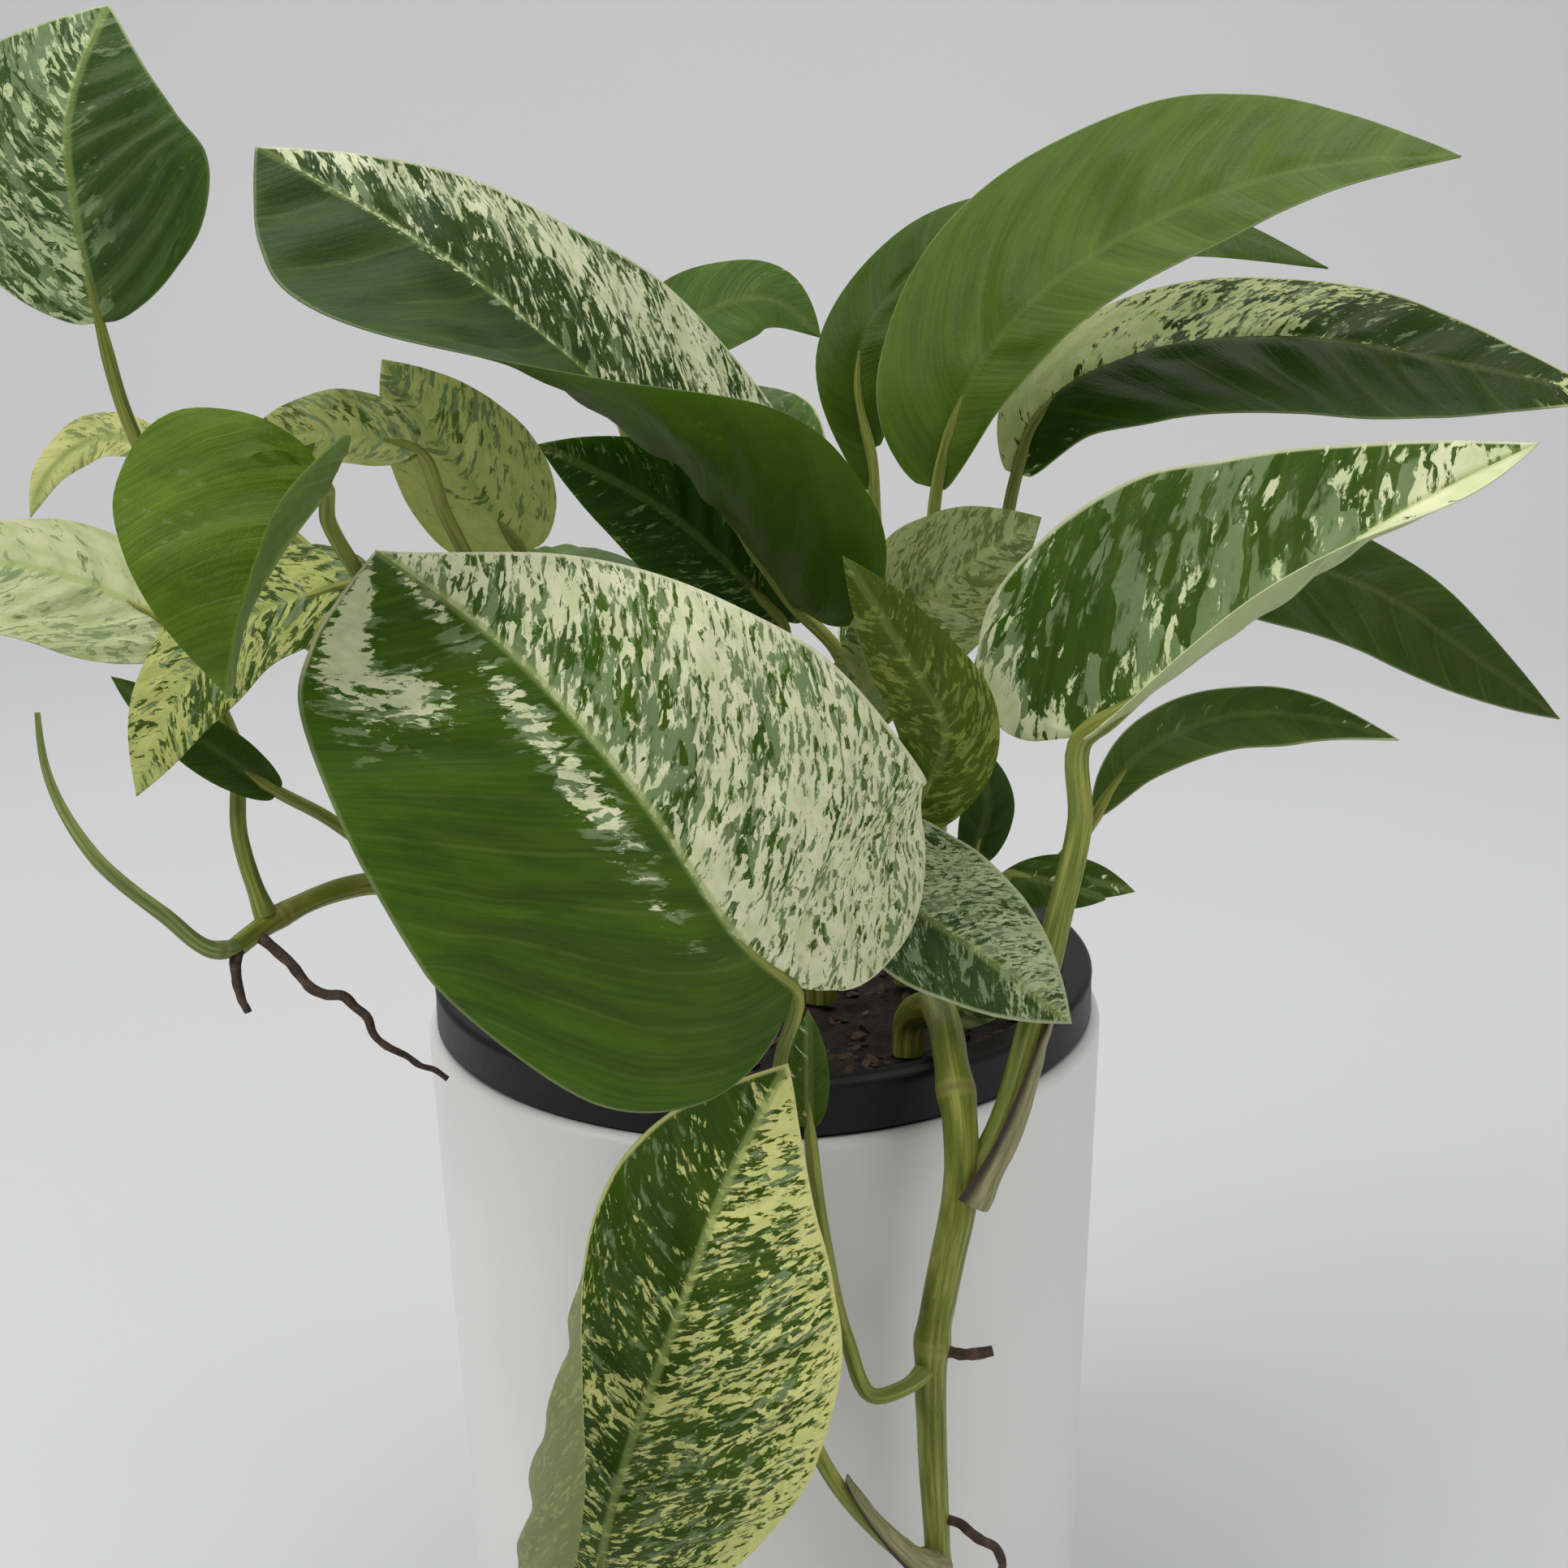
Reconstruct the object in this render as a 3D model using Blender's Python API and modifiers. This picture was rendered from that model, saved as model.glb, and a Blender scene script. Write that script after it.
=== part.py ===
"""A potted marble-queen pothos in Blender: a white cachepot, the black nursery pot that rests in it, the soil,
the stems, the aerial roots, and one object for each leaf with its petiole. Plant positions are in millimetres from
the centre of the nursery pot's top, +Z up; what is built is in metres and stands on Z = 0."""

import math

import bmesh
import bpy
import numpy as np

# Driving dimensions, in millimetres.
OUTER_HEIGHT = 134.7      # white pot
OUTER_RADIUS = 58.5       # at its rim
OUTER_TAPER = 0.022       # radius lost for each mm down
OUTER_WALL = 3.5
OUTER_FLOOR = 5.0
LIP_HEIGHT = 8.0          # the nursery pot's turned-down lip
LIP_INSET = 1.5           # how far the lip stands inside the white rim's edge
LIP_WALL = 1.5
NURSERY_HEIGHT = 100.0
NURSERY_CLEARANCE = 2.0   # between the nursery pot's wall and the white pot's
NURSERY_DRAFT = 12.0      # how much narrower the nursery pot is at its base
NURSERY_WALL = 1.2
SOIL_DROP = 10.0          # soil level below the lip's top
GAP = 0.3                 # between pieces that only rest on each other
BLADE = 0.8               # thickness of a leaf blade
PLANTED_RADIUS = 58.5     # the white pot's radius that the plant's points below are chosen for

# What follows from them.
LIP_RADIUS = OUTER_RADIUS - LIP_INSET
NURSERY_TOP_RADIUS = OUTER_RADIUS - OUTER_WALL - NURSERY_CLEARANCE
NURSERY_BASE_RADIUS = NURSERY_TOP_RADIUS - NURSERY_DRAFT
TOP = OUTER_HEIGHT + GAP + LIP_HEIGHT          # height of the lip's top over the table
PLANT_SCALE = OUTER_RADIUS / PLANTED_RADIUS    # the plant is as big as its pot
SOIL = (3 * GAP - SOIL_DROP) / PLANT_SCALE     # where a stem's foot is, just over the soil

# Outlines of a half leaf from the sinus, round its lobe, to the tip: along the midrib as a share of the length, and
# out from it as a share of that half's width.
ROUND = (
    (0.0, 0.0), (-0.05, 0.15), (-0.05, 0.38), (0.0, 0.60), (0.10, 0.83), (0.25, 0.99),
    (0.42, 1.0), (0.57, 0.89), (0.72, 0.70), (0.86, 0.41), (0.95, 0.16), (1.0, 0.0),
)
HEART = (
    (0.0, 0.0), (-0.10, 0.12), (-0.15, 0.38), (-0.11, 0.68), (0.02, 0.91), (0.19, 1.0),
    (0.38, 0.95), (0.57, 0.75), (0.74, 0.48), (0.88, 0.22), (0.96, 0.07), (1.0, 0.0),
)
TEAR = (
    (0.0, 0.0), (-0.10, 0.14), (-0.15, 0.42), (-0.10, 0.72), (0.03, 0.95), (0.19, 1.0),
    (0.36, 0.95), (0.54, 0.72), (0.72, 0.42), (0.87, 0.20), (0.96, 0.06), (1.0, 0.0),
)
WEDGE = (
    (0.0, 0.0), (0.0, 0.12), (0.04, 0.34), (0.14, 0.63), (0.29, 0.89), (0.45, 1.0),
    (0.59, 0.96), (0.73, 0.75), (0.85, 0.45), (0.94, 0.19), (0.98, 0.07), (1.0, 0.0),
)
BLUNT = (
    (0.0, 0.0), (-0.03, 0.16), (-0.03, 0.36), (0.04, 0.63), (0.18, 0.88), (0.38, 1.0),
    (0.60, 0.93), (0.78, 0.80), (0.90, 0.64), (0.95, 0.45), (0.98, 0.22), (1.0, 0.0),
)


UPWARD = ((0, -0.65, 0.76),) * 3     # the way that most of the long leaves face


def stem(route, girth):
    """A stem's route, and its radius at the start, in the middle and at the end."""
    return dict(route=route, girth=girth)


def leaf(mid, wide, face=((0, -0.93, 0.35),) * 3, fold=((0, 0, 0), (0, 0, 0)), curl=((0, 0, 0), (0, 0, 0)),
         shape=(ROUND, ROUND), wave=0.4, stalk=None, girth=(1.3, 1.0), tone="green"):
    """The facts of one leaf: points along its midrib from joint to tip; the widths of its left and right halves;
    the way its face looks at base, middle and tip; how far each half folds up from the midrib, and curls from there
    to its margin, in degrees at base, middle and tip; the outlines of the halves; how far the margin waves; and its
    petiole: the stem and the share of it where it leaves, then points up to the joint, its radius at each end, and the leaf's tone."""
    return dict(mid=mid, wide=wide, face=face, fold=fold, curl=curl, shape=shape, wave=wave, stalk=stalk,
                girth=girth, tone=tone)


# The general colour of a leaf, linear RGB.
TONES = {
    "green": (0.055, 0.14, 0.02),
    "dark": (0.03, 0.085, 0.015),
    "marbled": (0.19, 0.27, 0.10),
    "cream": (0.42, 0.46, 0.25),
}

STEMS = {
    "stem_trailing": stem(
        [(24, -22, SOIL), (24, -22, -5), (27, -32, 3), (28, -46, 6), (28, -57, 5.5), (29, -64, -3), (29, -65.5, -12), (27, -65, -25),
         (25, -64.5, -38), (25, -64, -55), (26, -63.5, -77), (26, -63, -100), (25, -63, -112)], (2.6, 2.6, 1.6)),
    "stem_left_runner": stem(
        [(-22, -20, SOIL), (-22, -20.5, -5), (-29, -29, 8), (-42, -40, 24), (-59, -46, 30), (-71, -56, 28), (-75, -61, 26)],
        (2.6, 1.9, 1.5)),
    "leaf_left_rolled": stem(
        [(-77.5, -63.5, 26.5), (-84, -64, 32), (-93, -64, 41), (-99, -62, 53), (-100, -60, 61)], (1.2, 1.0, 0.4)),
    "stem_crown_left": stem([(-8, -12, SOIL), (-8, -12, -5), (-12, -19, 12), (-22, -30, 36), (-34, -44, 58)], (2.8, 2.4, 1.6)),
    "stem_crown_middle": stem([(10, 2, SOIL), (10, 2, -5), (12, 0, 12), (13, -6, 32), (12, -12, 46)], (2.8, 2.4, 1.8)),
    "stem_crown_right": stem([(26, 10, SOIL), (26, 10, -5), (28, 8, 12), (32, 4, 30), (34, 2, 40)], (2.8, 2.4, 1.8)),
    "stem_crown_back": stem([(-4, 22, SOIL), (-4, 22, -5), (-6, 26, 10), (-4, 28, 32), (0, 28, 48)], (2.8, 2.4, 1.8)),
}

ROOTS = {
    "root_left": stem(
        [(-68, -61, 24), (-64, -64, 21), (-57, -67, 19), (-54, -68, 14), (-50, -68, 11), (-45, -68, 8)],
        (0.9, 0.7, 0.4)),
    "root_left_stub": stem([(-74.5, -64.5, 22), (-74, -66, 20), (-73, -67, 18)], (0.9, 0.8, 0.5)),
    "root_front_upper": stem([(28.6, -65, -40), (31, -66, -39.5), (34, -66, -39)], (1.0, 0.9, 0.8)),
    "root_front_lower": stem(
        [(29.5, -64.5, -70), (32, -66, -72), (35, -66.5, -73.5), (36, -66, -77), (34, -65, -81)], (0.8, 0.8, 0.5)),
}

LEAVES = {
    # In front of the pot.
    "leaf_front_large": leaf(
        [(5, -73, 23), (-1, -79, 31), (-15, -84, 55), (-29, -80, 71), (-50, -66, 84)], (36, 33),
        ((0.1, -0.95, 0.3), (0.1, -0.95, 0.3), (0.3, -0.8, 0.5)), curl=((5, -5, 0), (0, 5, 0)),
        shape=(BLUNT, HEART), wave=0.7,
        stalk=("stem_trailing", 0.80, (22, -70, -73), (11, -70.5, -60), (3, -69.5, -40), (1, -69, -20), (1, -66.5, -4),
               (3, -65.5, 9)), tone="marbled"),
    "leaf_front_low": leaf(
        [(-28, -69, -84), (-22, -77, -53), (-13, -80, -26), (-5, -77, -5), (4, -71.5, 11)], (31, 26),
        fold=((-20, -20, -10), (0, 0, 0)), curl=((190, 190, 70), (10, 0, 0)), shape=(ROUND, WEDGE),
        stalk=("stem_trailing", 0.94, (16, -70, -104), (-4, -76, -102), (-22, -71, -94)), tone="marbled"),
    # Left of the pot.
    "leaf_left_top": leaf(
        [(-95, -30, 112), (-96, -32, 127), (-96, -32, 139), (-90, -26, 156)], (20, 20), shape=(WEDGE, WEDGE),
        stalk=("stem_crown_left", 0.7, (-36, -27, 50), (-60, -28, 58), (-80, -30, 74), (-92, -31, 98)), tone="marbled"),
    "leaf_left_long": leaf(
        [(6, -22, 67), (-8, -33, 88), (-25, -44, 107), (-39, -52, 120), (-63, -60, 136)], (34, 24),
        ((0.3, -0.5, 0.8), (0.3, -0.5, 0.8), (0.2, -0.6, 0.7)), ((40, 0, 0), (10, 10, 0)),
        ((105, 88, -10), (20, 10, 0)), (BLUNT, ROUND),
        stalk=("stem_crown_middle", 0.8, (16, -13, 44), (13, -18, 58)), tone="marbled"),
    "leaf_left_heart": leaf(
        [(-54, -78, 94), (-59, -84, 87), (-63, -88, 79), (-66, -86, 69)], (16, 23), fold=((80, 80, 60), (0, 0, 0)),
        shape=(HEART, HEART), stalk=("stem_crown_left", 0.97, (-44, -51, 62), (-51, -61, 76), (-55, -71, 89))),
    "leaf_left_arch": leaf(
        [(-91, -22, 93), (-100, -20, 94), (-107, -20, 90), (-112, -20, 82)], (3, 4),
        stalk=("stem_crown_left", 0.8, (-44, -34, 60), (-66, -28, 76), (-82, -23, 89)), tone="cream"),
    "leaf_left_cream": leaf(
        [(-84, -46, 70), (-96, -44, 76), (-112, -42, 79), (-130, -42, 76)], (13, 11), UPWARD, curl=((10, 10, 10), (-20, -20, 0)),
        stalk=("stem_left_runner", 0.93, (-75, -54, 40), (-77, -45, 52), (-81, -44, 62)), tone="cream"),
    "leaf_left_marbled": leaf(
        [(-56, -53, 77), (-70, -57, 73), (-80, -58, 63), (-88, -58, 48)], (9, 11), UPWARD,
        stalk=("stem_crown_left", 0.88, (-40, -44, 60), (-50, -49, 72)), tone="marbled"),
    "leaf_left_narrow": leaf(
        [(-71, -51, 47), (-81, -52, 55), (-92, -51.5, 64)], (4, 4), girth=(1.2, 0.9),
        stalk=("stem_left_runner", 0.62, (-57, -44, 34), (-64, -47, 41))),
    "leaf_left_yellow": leaf(
        [(-34, -42, 80), (-42, -48, 94), (-50, -52, 108)], (9, 11),
        stalk=("stem_crown_left", 0.99, (-34, -43, 66), (-34, -42, 73)), tone="cream"),
    "leaf_left_pale": leaf(
        [(-46, -58, 97), (-55, -60, 99), (-68, -62, 98)], (4, 6),
        stalk=("stem_crown_left", 0.75, (-26, -43, 46), (-34, -50, 66), (-42, -56, 87)), tone="cream"),
    "leaf_behind_long": leaf(
        [(4, -12, 62), (-12, -20, 80), (-32, -28, 93)], (10, 11),
        stalk=("stem_crown_middle", 0.9, (8, -10, 46), (5, -11, 54)), tone="dark"),
    "leaf_behind_tip": leaf(
        [(-20, 30, 101), (-8, 33, 108), (3, 34, 110), (12, 33, 103)], (8, 8),
        stalk=("stem_crown_back", 0.98, (-8, 25, 60), (-19, 22, 80), (-23, 22, 93))),
    # Right of the pot.
    "leaf_right_olive": leaf(
        [(20, 20, 85), (18, 21, 101), (31, 25, 117), (58, 30, 124), (98, 22, 114)], (8, 14), UPWARD, shape=(ROUND, WEDGE),
        stalk=("stem_crown_right", 0.8, (26, 14, 48), (21, 18, 70)), tone="dark"),
    "leaf_right_large": leaf(
        [(30, 0, 81), (34, -4, 97), (43, -7, 110), (60, -10, 122), (82, -12, 130), (108, -14, 132)], (25, 10), UPWARD,
        shape=(WEDGE, WEDGE), stalk=("stem_crown_right", 0.9, (30, -1, 48), (29, -2, 66))),
    "leaf_right_marbled": leaf(
        [(44, 8, 82), (49, 8, 94), (62, 8, 101), (89, 4, 104), (113, -1, 100), (139, -4, 94)], (14, 17), UPWARD,
        shape=(WEDGE, WEDGE), stalk=("stem_crown_right", 0.97, (38, 4, 50), (41, 6, 66)), tone="marbled"),
    "leaf_right_folded": leaf(
        [(49, -42, 50), (58, -46, 58), (73, -48, 70), (88, -48, 81), (112, -46, 93)], (28, 9),
        ((-0.2, -0.9, 0.4), (-0.2, -0.9, 0.4), (-0.2, -0.9, 0.4)), ((0, 0, 0), (60, 60, 20)),
        ((0, 10, 0), (60, 60, 20)), (TEAR, WEDGE), girth=(2.4, 1.7),
        stalk=("stem_trailing", 0.40, (34, -64, -6), (40, -58, 10), (44, -53, 24), (48, -47, 38)), tone="marbled"),
    "leaf_right_dark": leaf(
        [(60, -20, 76), (80, -20, 73), (99, -22, 66), (112, -24, 57), (126, -26, 47)], (10, 13), UPWARD,
        stalk=("stem_crown_right", 0.99, (44, -8, 48), (54, -18, 66)), tone="dark"),
    "leaf_right_low": leaf(
        [(53, -30, 34), (60, -28, 43), (72, -27, 48), (86, -26, 48), (101, -26, 44)], (6, 6), UPWARD, shape=(WEDGE, WEDGE),
        stalk=("stem_crown_right", 0.5, (38, -8, 14), (46, -24, 22))),
    "leaf_behind_cream": leaf(
        [(17, -6, 55), (28, -13, 66), (45, -18, 79)], (15, 15), UPWARD,
        stalk=("stem_crown_middle", 0.95, (15, -7, 49)), tone="cream"),
    "leaf_middle_twisted": leaf(
        [(23, -40, 38), (28, -46, 52), (21, -49, 66), (13, -48, 79)], (7, 8),
        stalk=("stem_crown_middle", 0.6, (18, -18, 26), (22, -32, 30)), tone="cream"),
    "leaf_middle_pale": leaf(
        [(15, -38, 52), (17, -39, 60), (15, -38, 68)], (6, 6),
        stalk=("stem_crown_middle", 0.9, (14, -24, 46), (14, -33, 48)), tone="cream"),
    "leaf_right_speckled": leaf(
        [(17, -46, 36), (23, -54, 28), (32, -61, 23), (45, -64, 13)], (12, 10),
        stalk=("stem_crown_middle", 0.5, (16, -20, 20), (14, -36, 34)), tone="marbled"),
    "leaf_middle_dark": leaf([(33, -38, 30), (35, -40, 40), (31, -42, 50)], (4, 4),
                             stalk=("stem_crown_right", 0.42, (31, -16, 12), (31, -30, 22)), tone="dark"),
    "leaf_right_small": leaf([(38, -30, 21), (48, -32, 24), (59, -33, 22)], (4, 4),
                             stalk=("stem_crown_right", 0.55, (34, -6, 19), (36, -20, 20))),
    "leaf_right_tiny": leaf([(40, -38, 27), (46, -40, 26), (53, -42, 24)], (3, 4),
                            stalk=("stem_crown_right", 0.35, (38, -14, 6), (38, -30, 16))),
    "leaf_front_small": leaf([(7, -61, -3), (7, -61, 6), (7, -62, 15)], (3, 3),
                             stalk=("stem_trailing", 0.575, (21, -69, -43), (16, -70, -44), (12, -67, -36), (9, -64, -22),
                                    (7.5, -62.5, -10))),
    "leaf_soil_pale": leaf([(31, -24, -2), (37, -28, 3), (43, -31, 6)], (4, 4),
                           stalk=("stem_trailing", 0.06, (28, -22.5, -4)), tone="cream"),
    # At the back, where the plant is as full as in front.
    "leaf_back_middle": leaf([(0, 34, 72), (-4, 50, 88), (-10, 68, 92), (-16, 86, 82)], (17, 17), ((0, 0.3, 0.95),) * 3,
                             stalk=("stem_crown_back", 0.98, (0, 30, 60)), tone="marbled"),
    "leaf_back_left": leaf([(-22, 34, 52), (-38, 48, 62), (-56, 58, 60), (-74, 66, 46)], (16, 16), ((-0.3, 0.3, 0.9),) * 3,
                           stalk=("stem_crown_back", 0.8, (-12, 30, 44))),
    "leaf_back_right": leaf([(22, 36, 46), (36, 52, 58), (50, 66, 56), (62, 80, 42)], (15, 16), ((0.3, 0.3, 0.9),) * 3,
                            stalk=("stem_crown_back", 0.7, (8, 30, 34)), tone="marbled"),
    "leaf_back_low": leaf([(-8, 44, 18), (-10, 60, 28), (-14, 78, 24), (-18, 92, 8)], (15, 15), ((0, 0.4, 0.9),) * 3,
                          stalk=("stem_crown_back", 0.4, (-7, 34, 12))),
}


def through(points, at):
    """Points on a smooth curve through the given ones, at shares of its length. Before 0 it runs on straight."""
    p = np.array(points, float)
    chord = np.linalg.norm(np.diff(p, axis=0), axis=1)
    knot = np.concatenate([[0.0], np.cumsum(chord)])
    slope = np.diff(p, axis=0) / chord[:, None]
    turn = np.empty_like(p)
    turn[0], turn[-1] = slope[0], slope[-1]
    if len(p) > 2:
        share = (chord[:-1] / (chord[:-1] + chord[1:]))[:, None]
        turn[1:-1] = (1 - share) * slope[:-1] + share * slope[1:]
        turn[0], turn[-1] = 1.5 * slope[0] - 0.5 * turn[1], 1.5 * slope[-1] - 0.5 * turn[-2]
    u = np.asarray(at, float) * knot[-1]
    i = np.clip(np.searchsorted(knot, u, side="right") - 1, 0, len(chord) - 1)
    h = chord[i]
    t = np.clip((u - knot[i]) / h, 0.0, 1.0)[..., None]
    h = h[..., None]
    curve = ((2 * t**3 - 3 * t**2 + 1) * p[i] + (t**3 - 2 * t**2 + t) * h * turn[i]
             + (3 * t**2 - 2 * t**3) * p[i + 1] + (t**3 - t**2) * h * turn[i + 1])
    return curve + np.minimum(u, 0.0)[..., None] * turn[0]


def unit(v):
    return v / np.linalg.norm(v, axis=-1, keepdims=True)


def blend(three, u):
    """A smooth change from the first value at the base, through the second, to the third at the tip."""
    a, b, c = (np.asarray(v, float) for v in three)
    u = np.clip(u, 0.0, 1.0)
    if a.ndim:
        u = u[..., None]
    return a * (1 - u) * (1 - 2 * u) + b * 4 * u * (1 - u) + c * u * (2 * u - 1)


def length_of(spec):
    return float(np.linalg.norm(np.diff(np.array(spec["mid"], float), axis=0), axis=1).sum())


def leaf_place(spec, along, out):
    """Where a flat leaf's points land, and their normals: along in mm from the joint, out in mm, + to the right."""
    length = length_of(spec)
    u = along / length
    middle = through(spec["mid"], u)
    step = 0.01
    ahead = unit(through(spec["mid"], np.minimum(u + step, 1.0)) - through(spec["mid"], np.minimum(u, 1.0) - step))
    up = blend(spec["face"], u)
    up = unit(up - (up * ahead).sum(-1, keepdims=True) * ahead)
    side = np.cross(ahead, up)
    right = out > 0
    width = np.where(right, spec["wide"][1], spec["wide"][0])
    fold, curl = (np.radians(np.where(right, blend(spec[k][1], u), blend(spec[k][0], u))) for k in ("fold", "curl"))
    curl = np.where(np.abs(curl) < 1e-3, 1e-3, curl)
    reach = np.abs(out) / width
    angle = fold + curl * reach
    across = width / curl * (np.sin(angle) - np.sin(fold)) * np.where(right, 1.0, -1.0)
    lift = width / curl * (np.cos(fold) - np.cos(angle))
    lift = lift + spec["wave"] * reach**2 * np.sin(5.2 * np.pi * u + np.where(right, 0.6, 2.4))
    spot = middle + across[..., None] * side + lift[..., None] * up
    normal = np.cos(angle)[..., None] * up - (np.sin(angle) * np.where(right, 1.0, -1.0))[..., None] * side
    left_fold, right_fold = (np.radians(blend(fold, u))[..., None] for fold in spec["fold"])
    mitre = (np.cos(left_fold) + np.cos(right_fold)) * up + (np.sin(left_fold) - np.sin(right_fold)) * side
    mitre = mitre / np.maximum(1.0 + np.cos(left_fold + right_fold), 0.35)
    return spot, np.where((np.abs(out) < 1e-6)[..., None], mitre, normal)


def leaf_grid(spec, rows, half):
    """A leaf laid flat: rows of points from the left margin over the midrib to the right, sinus first, tip last."""
    length = length_of(spec)
    left, right = (through(shape, np.linspace(0.06, 1.0, rows)) * (length, wide)
                   for shape, wide in zip(spec["shape"], spec["wide"]))
    root = np.maximum.accumulate(np.clip(0.5 * (left[:, 0] + right[:, 0]) - 0.22 * (left[:, 1] + right[:, 1]), 0.0, length))
    root[-1] = length
    across = np.linspace(-1.0, 1.0, 2 * half + 1)
    end = np.where(across < 0, left[:, :1], right[:, :1])
    out = across * np.where(across < 0, left[:, 1:], right[:, 1:])
    return root[:, None] + (end - root[:, None]) * np.abs(across), out


def closed_blade(spec, rows, half, thick):
    """The leaf blade as one thin closed shell: points and faces. Points that fall together are made one."""
    along, out = leaf_grid(spec, rows, half)
    spot, normal = leaf_place(spec, along, out)
    columns = 2 * half + 1
    points = np.concatenate([(spot + normal * thick / 2).reshape(-1, 3), (spot - normal * thick / 2).reshape(-1, 3)])
    i, j = np.meshgrid(np.arange(rows - 1), np.arange(columns - 1), indexing="ij")
    a = (i * columns + j).ravel()
    quads = np.stack([a, a + 1, a + columns + 1, a + columns], 1)
    lower = quads[:, ::-1] + rows * columns
    edge = np.arange(rows - 1) * columns
    start = np.arange(columns - 1)
    rim = []
    for first, second in ((edge, edge + columns), (edge + 2 * columns - 1, edge + columns - 1), (start + 1, start)):
        rim.append(np.stack([first, second, second + rows * columns, first + rows * columns], 1))
    return points, np.concatenate([quads, lower, *rim])


def girth_at(three, u):
    return np.interp(u, (0.0, 0.5, 1.0), three)


def tangent(route, u):
    return unit(through(route, min(u + 0.01, 1.0)) - through(route, min(u, 0.99) - 0.01))


def petiole(spec, samples):
    """A petiole's points and radii: it starts clear of its stem and runs on under the midrib a little way."""
    stem_name, share, *way = spec["stalk"]
    host = STEMS[stem_name]
    centre = through(host["route"], share)
    away = unit(np.array(way[0], float) - centre)
    slant = float(abs(away @ tangent(host["route"], share)))
    sine = max(math.sqrt(1.0 - slant**2), 0.4)
    start = centre + away * (girth_at(host["girth"], share) + 1.3 * GAP + spec["girth"][0] * slant) / sine
    up = unit(np.array(spec["face"][0], float))
    under = [through(spec["mid"], u) - 0.35 * up for u in (0.0, 0.07, 0.14)]
    route = through([start, *way, under[0]], np.linspace(0.0, 1.0, samples))
    radii = np.linspace(*spec["girth"], samples)
    return np.concatenate([route, under[1:]]), np.concatenate([radii, [0.8, 0.55]])


# ---- Blender


def link(obj, home, material, parent=None):
    home.objects.link(obj)
    if material is not None:
        obj.data.materials.append(material)
    obj.parent = parent
    return obj


def material(name, colour, roughness, metallic=0.0, subsurface=0.0):
    """A Principled material. The colour is linear RGB."""
    made = bpy.data.materials.new(name)
    made.use_nodes = True
    shader = made.node_tree.nodes["Principled BSDF"]
    shader.inputs["Base Color"].default_value = (*colour, 1.0)
    shader.inputs["Roughness"].default_value = roughness
    shader.inputs["Metallic"].default_value = metallic
    shader.inputs["Subsurface Weight"].default_value = subsurface
    made.diffuse_color = (*colour, 1.0)
    return made


def metres(points):
    """The plant's millimetres, from the middle of the lip's top, to metres over the table."""
    return (np.asarray(points, float) * PLANT_SCALE + (0.0, 0.0, TOP)) / 1000.0


def shell(name, points, faces):
    """A mesh from quads whose points may coincide: those are welded, and what collapses is dropped."""
    mesh = bpy.data.meshes.new(name)
    made = bmesh.new()
    corners = [made.verts.new(point) for point in points]
    for face in faces:
        made.faces.new([corners[i] for i in face])
    bmesh.ops.remove_doubles(made, verts=made.verts, dist=1e-6)
    bmesh.ops.triangulate(made, faces=made.faces)
    bmesh.ops.recalc_face_normals(made, faces=made.faces)
    made.to_mesh(mesh)
    made.free()
    return mesh


def tube(name, points, radii, sides=1):
    """A tapering tube with closed ends, from a bevelled curve. Its caps are welded to its side."""
    curve = bpy.data.curves.new(name, "CURVE")
    curve.dimensions = "3D"
    curve.bevel_depth = 0.001 * PLANT_SCALE
    curve.bevel_resolution = sides
    curve.use_fill_caps = True
    spline = curve.splines.new("POLY")
    spline.points.add(len(points) - 1)
    for spot, place, radius in zip(spline.points, metres(points), radii):
        spot.co = (*place, 1.0)
        spot.radius = radius
    guide = bpy.data.objects.new(name, curve)
    bpy.context.scene.collection.objects.link(guide)
    graph = bpy.context.evaluated_depsgraph_get()
    mesh = bpy.data.meshes.new_from_object(guide.evaluated_get(graph))
    bpy.data.objects.remove(guide)
    bpy.data.curves.remove(curve)
    welded = bmesh.new()
    welded.from_mesh(mesh)
    bmesh.ops.remove_doubles(welded, verts=welded.verts, dist=1e-6)
    bmesh.ops.recalc_face_normals(welded, faces=welded.faces)
    welded.to_mesh(mesh)
    welded.free()
    mesh.name = name
    return mesh


def turned(name, profile, home, finish, parent, steps=40):
    """A body of revolution from an outline of (radius, height) in mm, by a Screw modifier."""
    mesh = bpy.data.meshes.new(name)
    points = [(radius / 1000.0, 0.0, height / 1000.0) for radius, height in profile]
    closed = profile[0][0] > 0
    edges = [(i, i + 1) for i in range(len(points) - 1)] + ([(len(points) - 1, 0)] if closed else [])
    mesh.from_pydata(points, edges, [])
    obj = link(bpy.data.objects.new(name, mesh), home, finish, parent)
    screw = obj.modifiers.new("Turn", "SCREW")
    screw.steps = screw.render_steps = steps
    screw.use_merge_vertices = True
    screw.merge_threshold = 1e-5
    screw.use_normal_calculate = True
    return obj


def arc(centre, radius, first, last, steps):
    """Points on an arc of a profile, angles in degrees."""
    angles = np.radians(np.linspace(first, last, steps + 1))
    return [(centre[0] + radius * math.cos(a), centre[1] + radius * math.sin(a)) for a in angles]


def outer_pot_profile():
    """From the axis under the floor, round the foot, up the tapering wall, over the rim and down inside."""
    foot = OUTER_RADIUS - OUTER_TAPER * OUTER_HEIGHT
    inside = foot - OUTER_WALL
    half = OUTER_WALL / 2
    return [
        (0.0, 0.0), *arc((foot - 1.5, 1.5), 1.5, -90, 0, 3),
        *arc((OUTER_RADIUS - half, OUTER_HEIGHT - half), half, 0, 180, 6),
        *arc((inside - 3.0, OUTER_FLOOR + 3.0), 3.0, 0, -90, 3), (0.0, OUTER_FLOOR),
    ]


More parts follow.
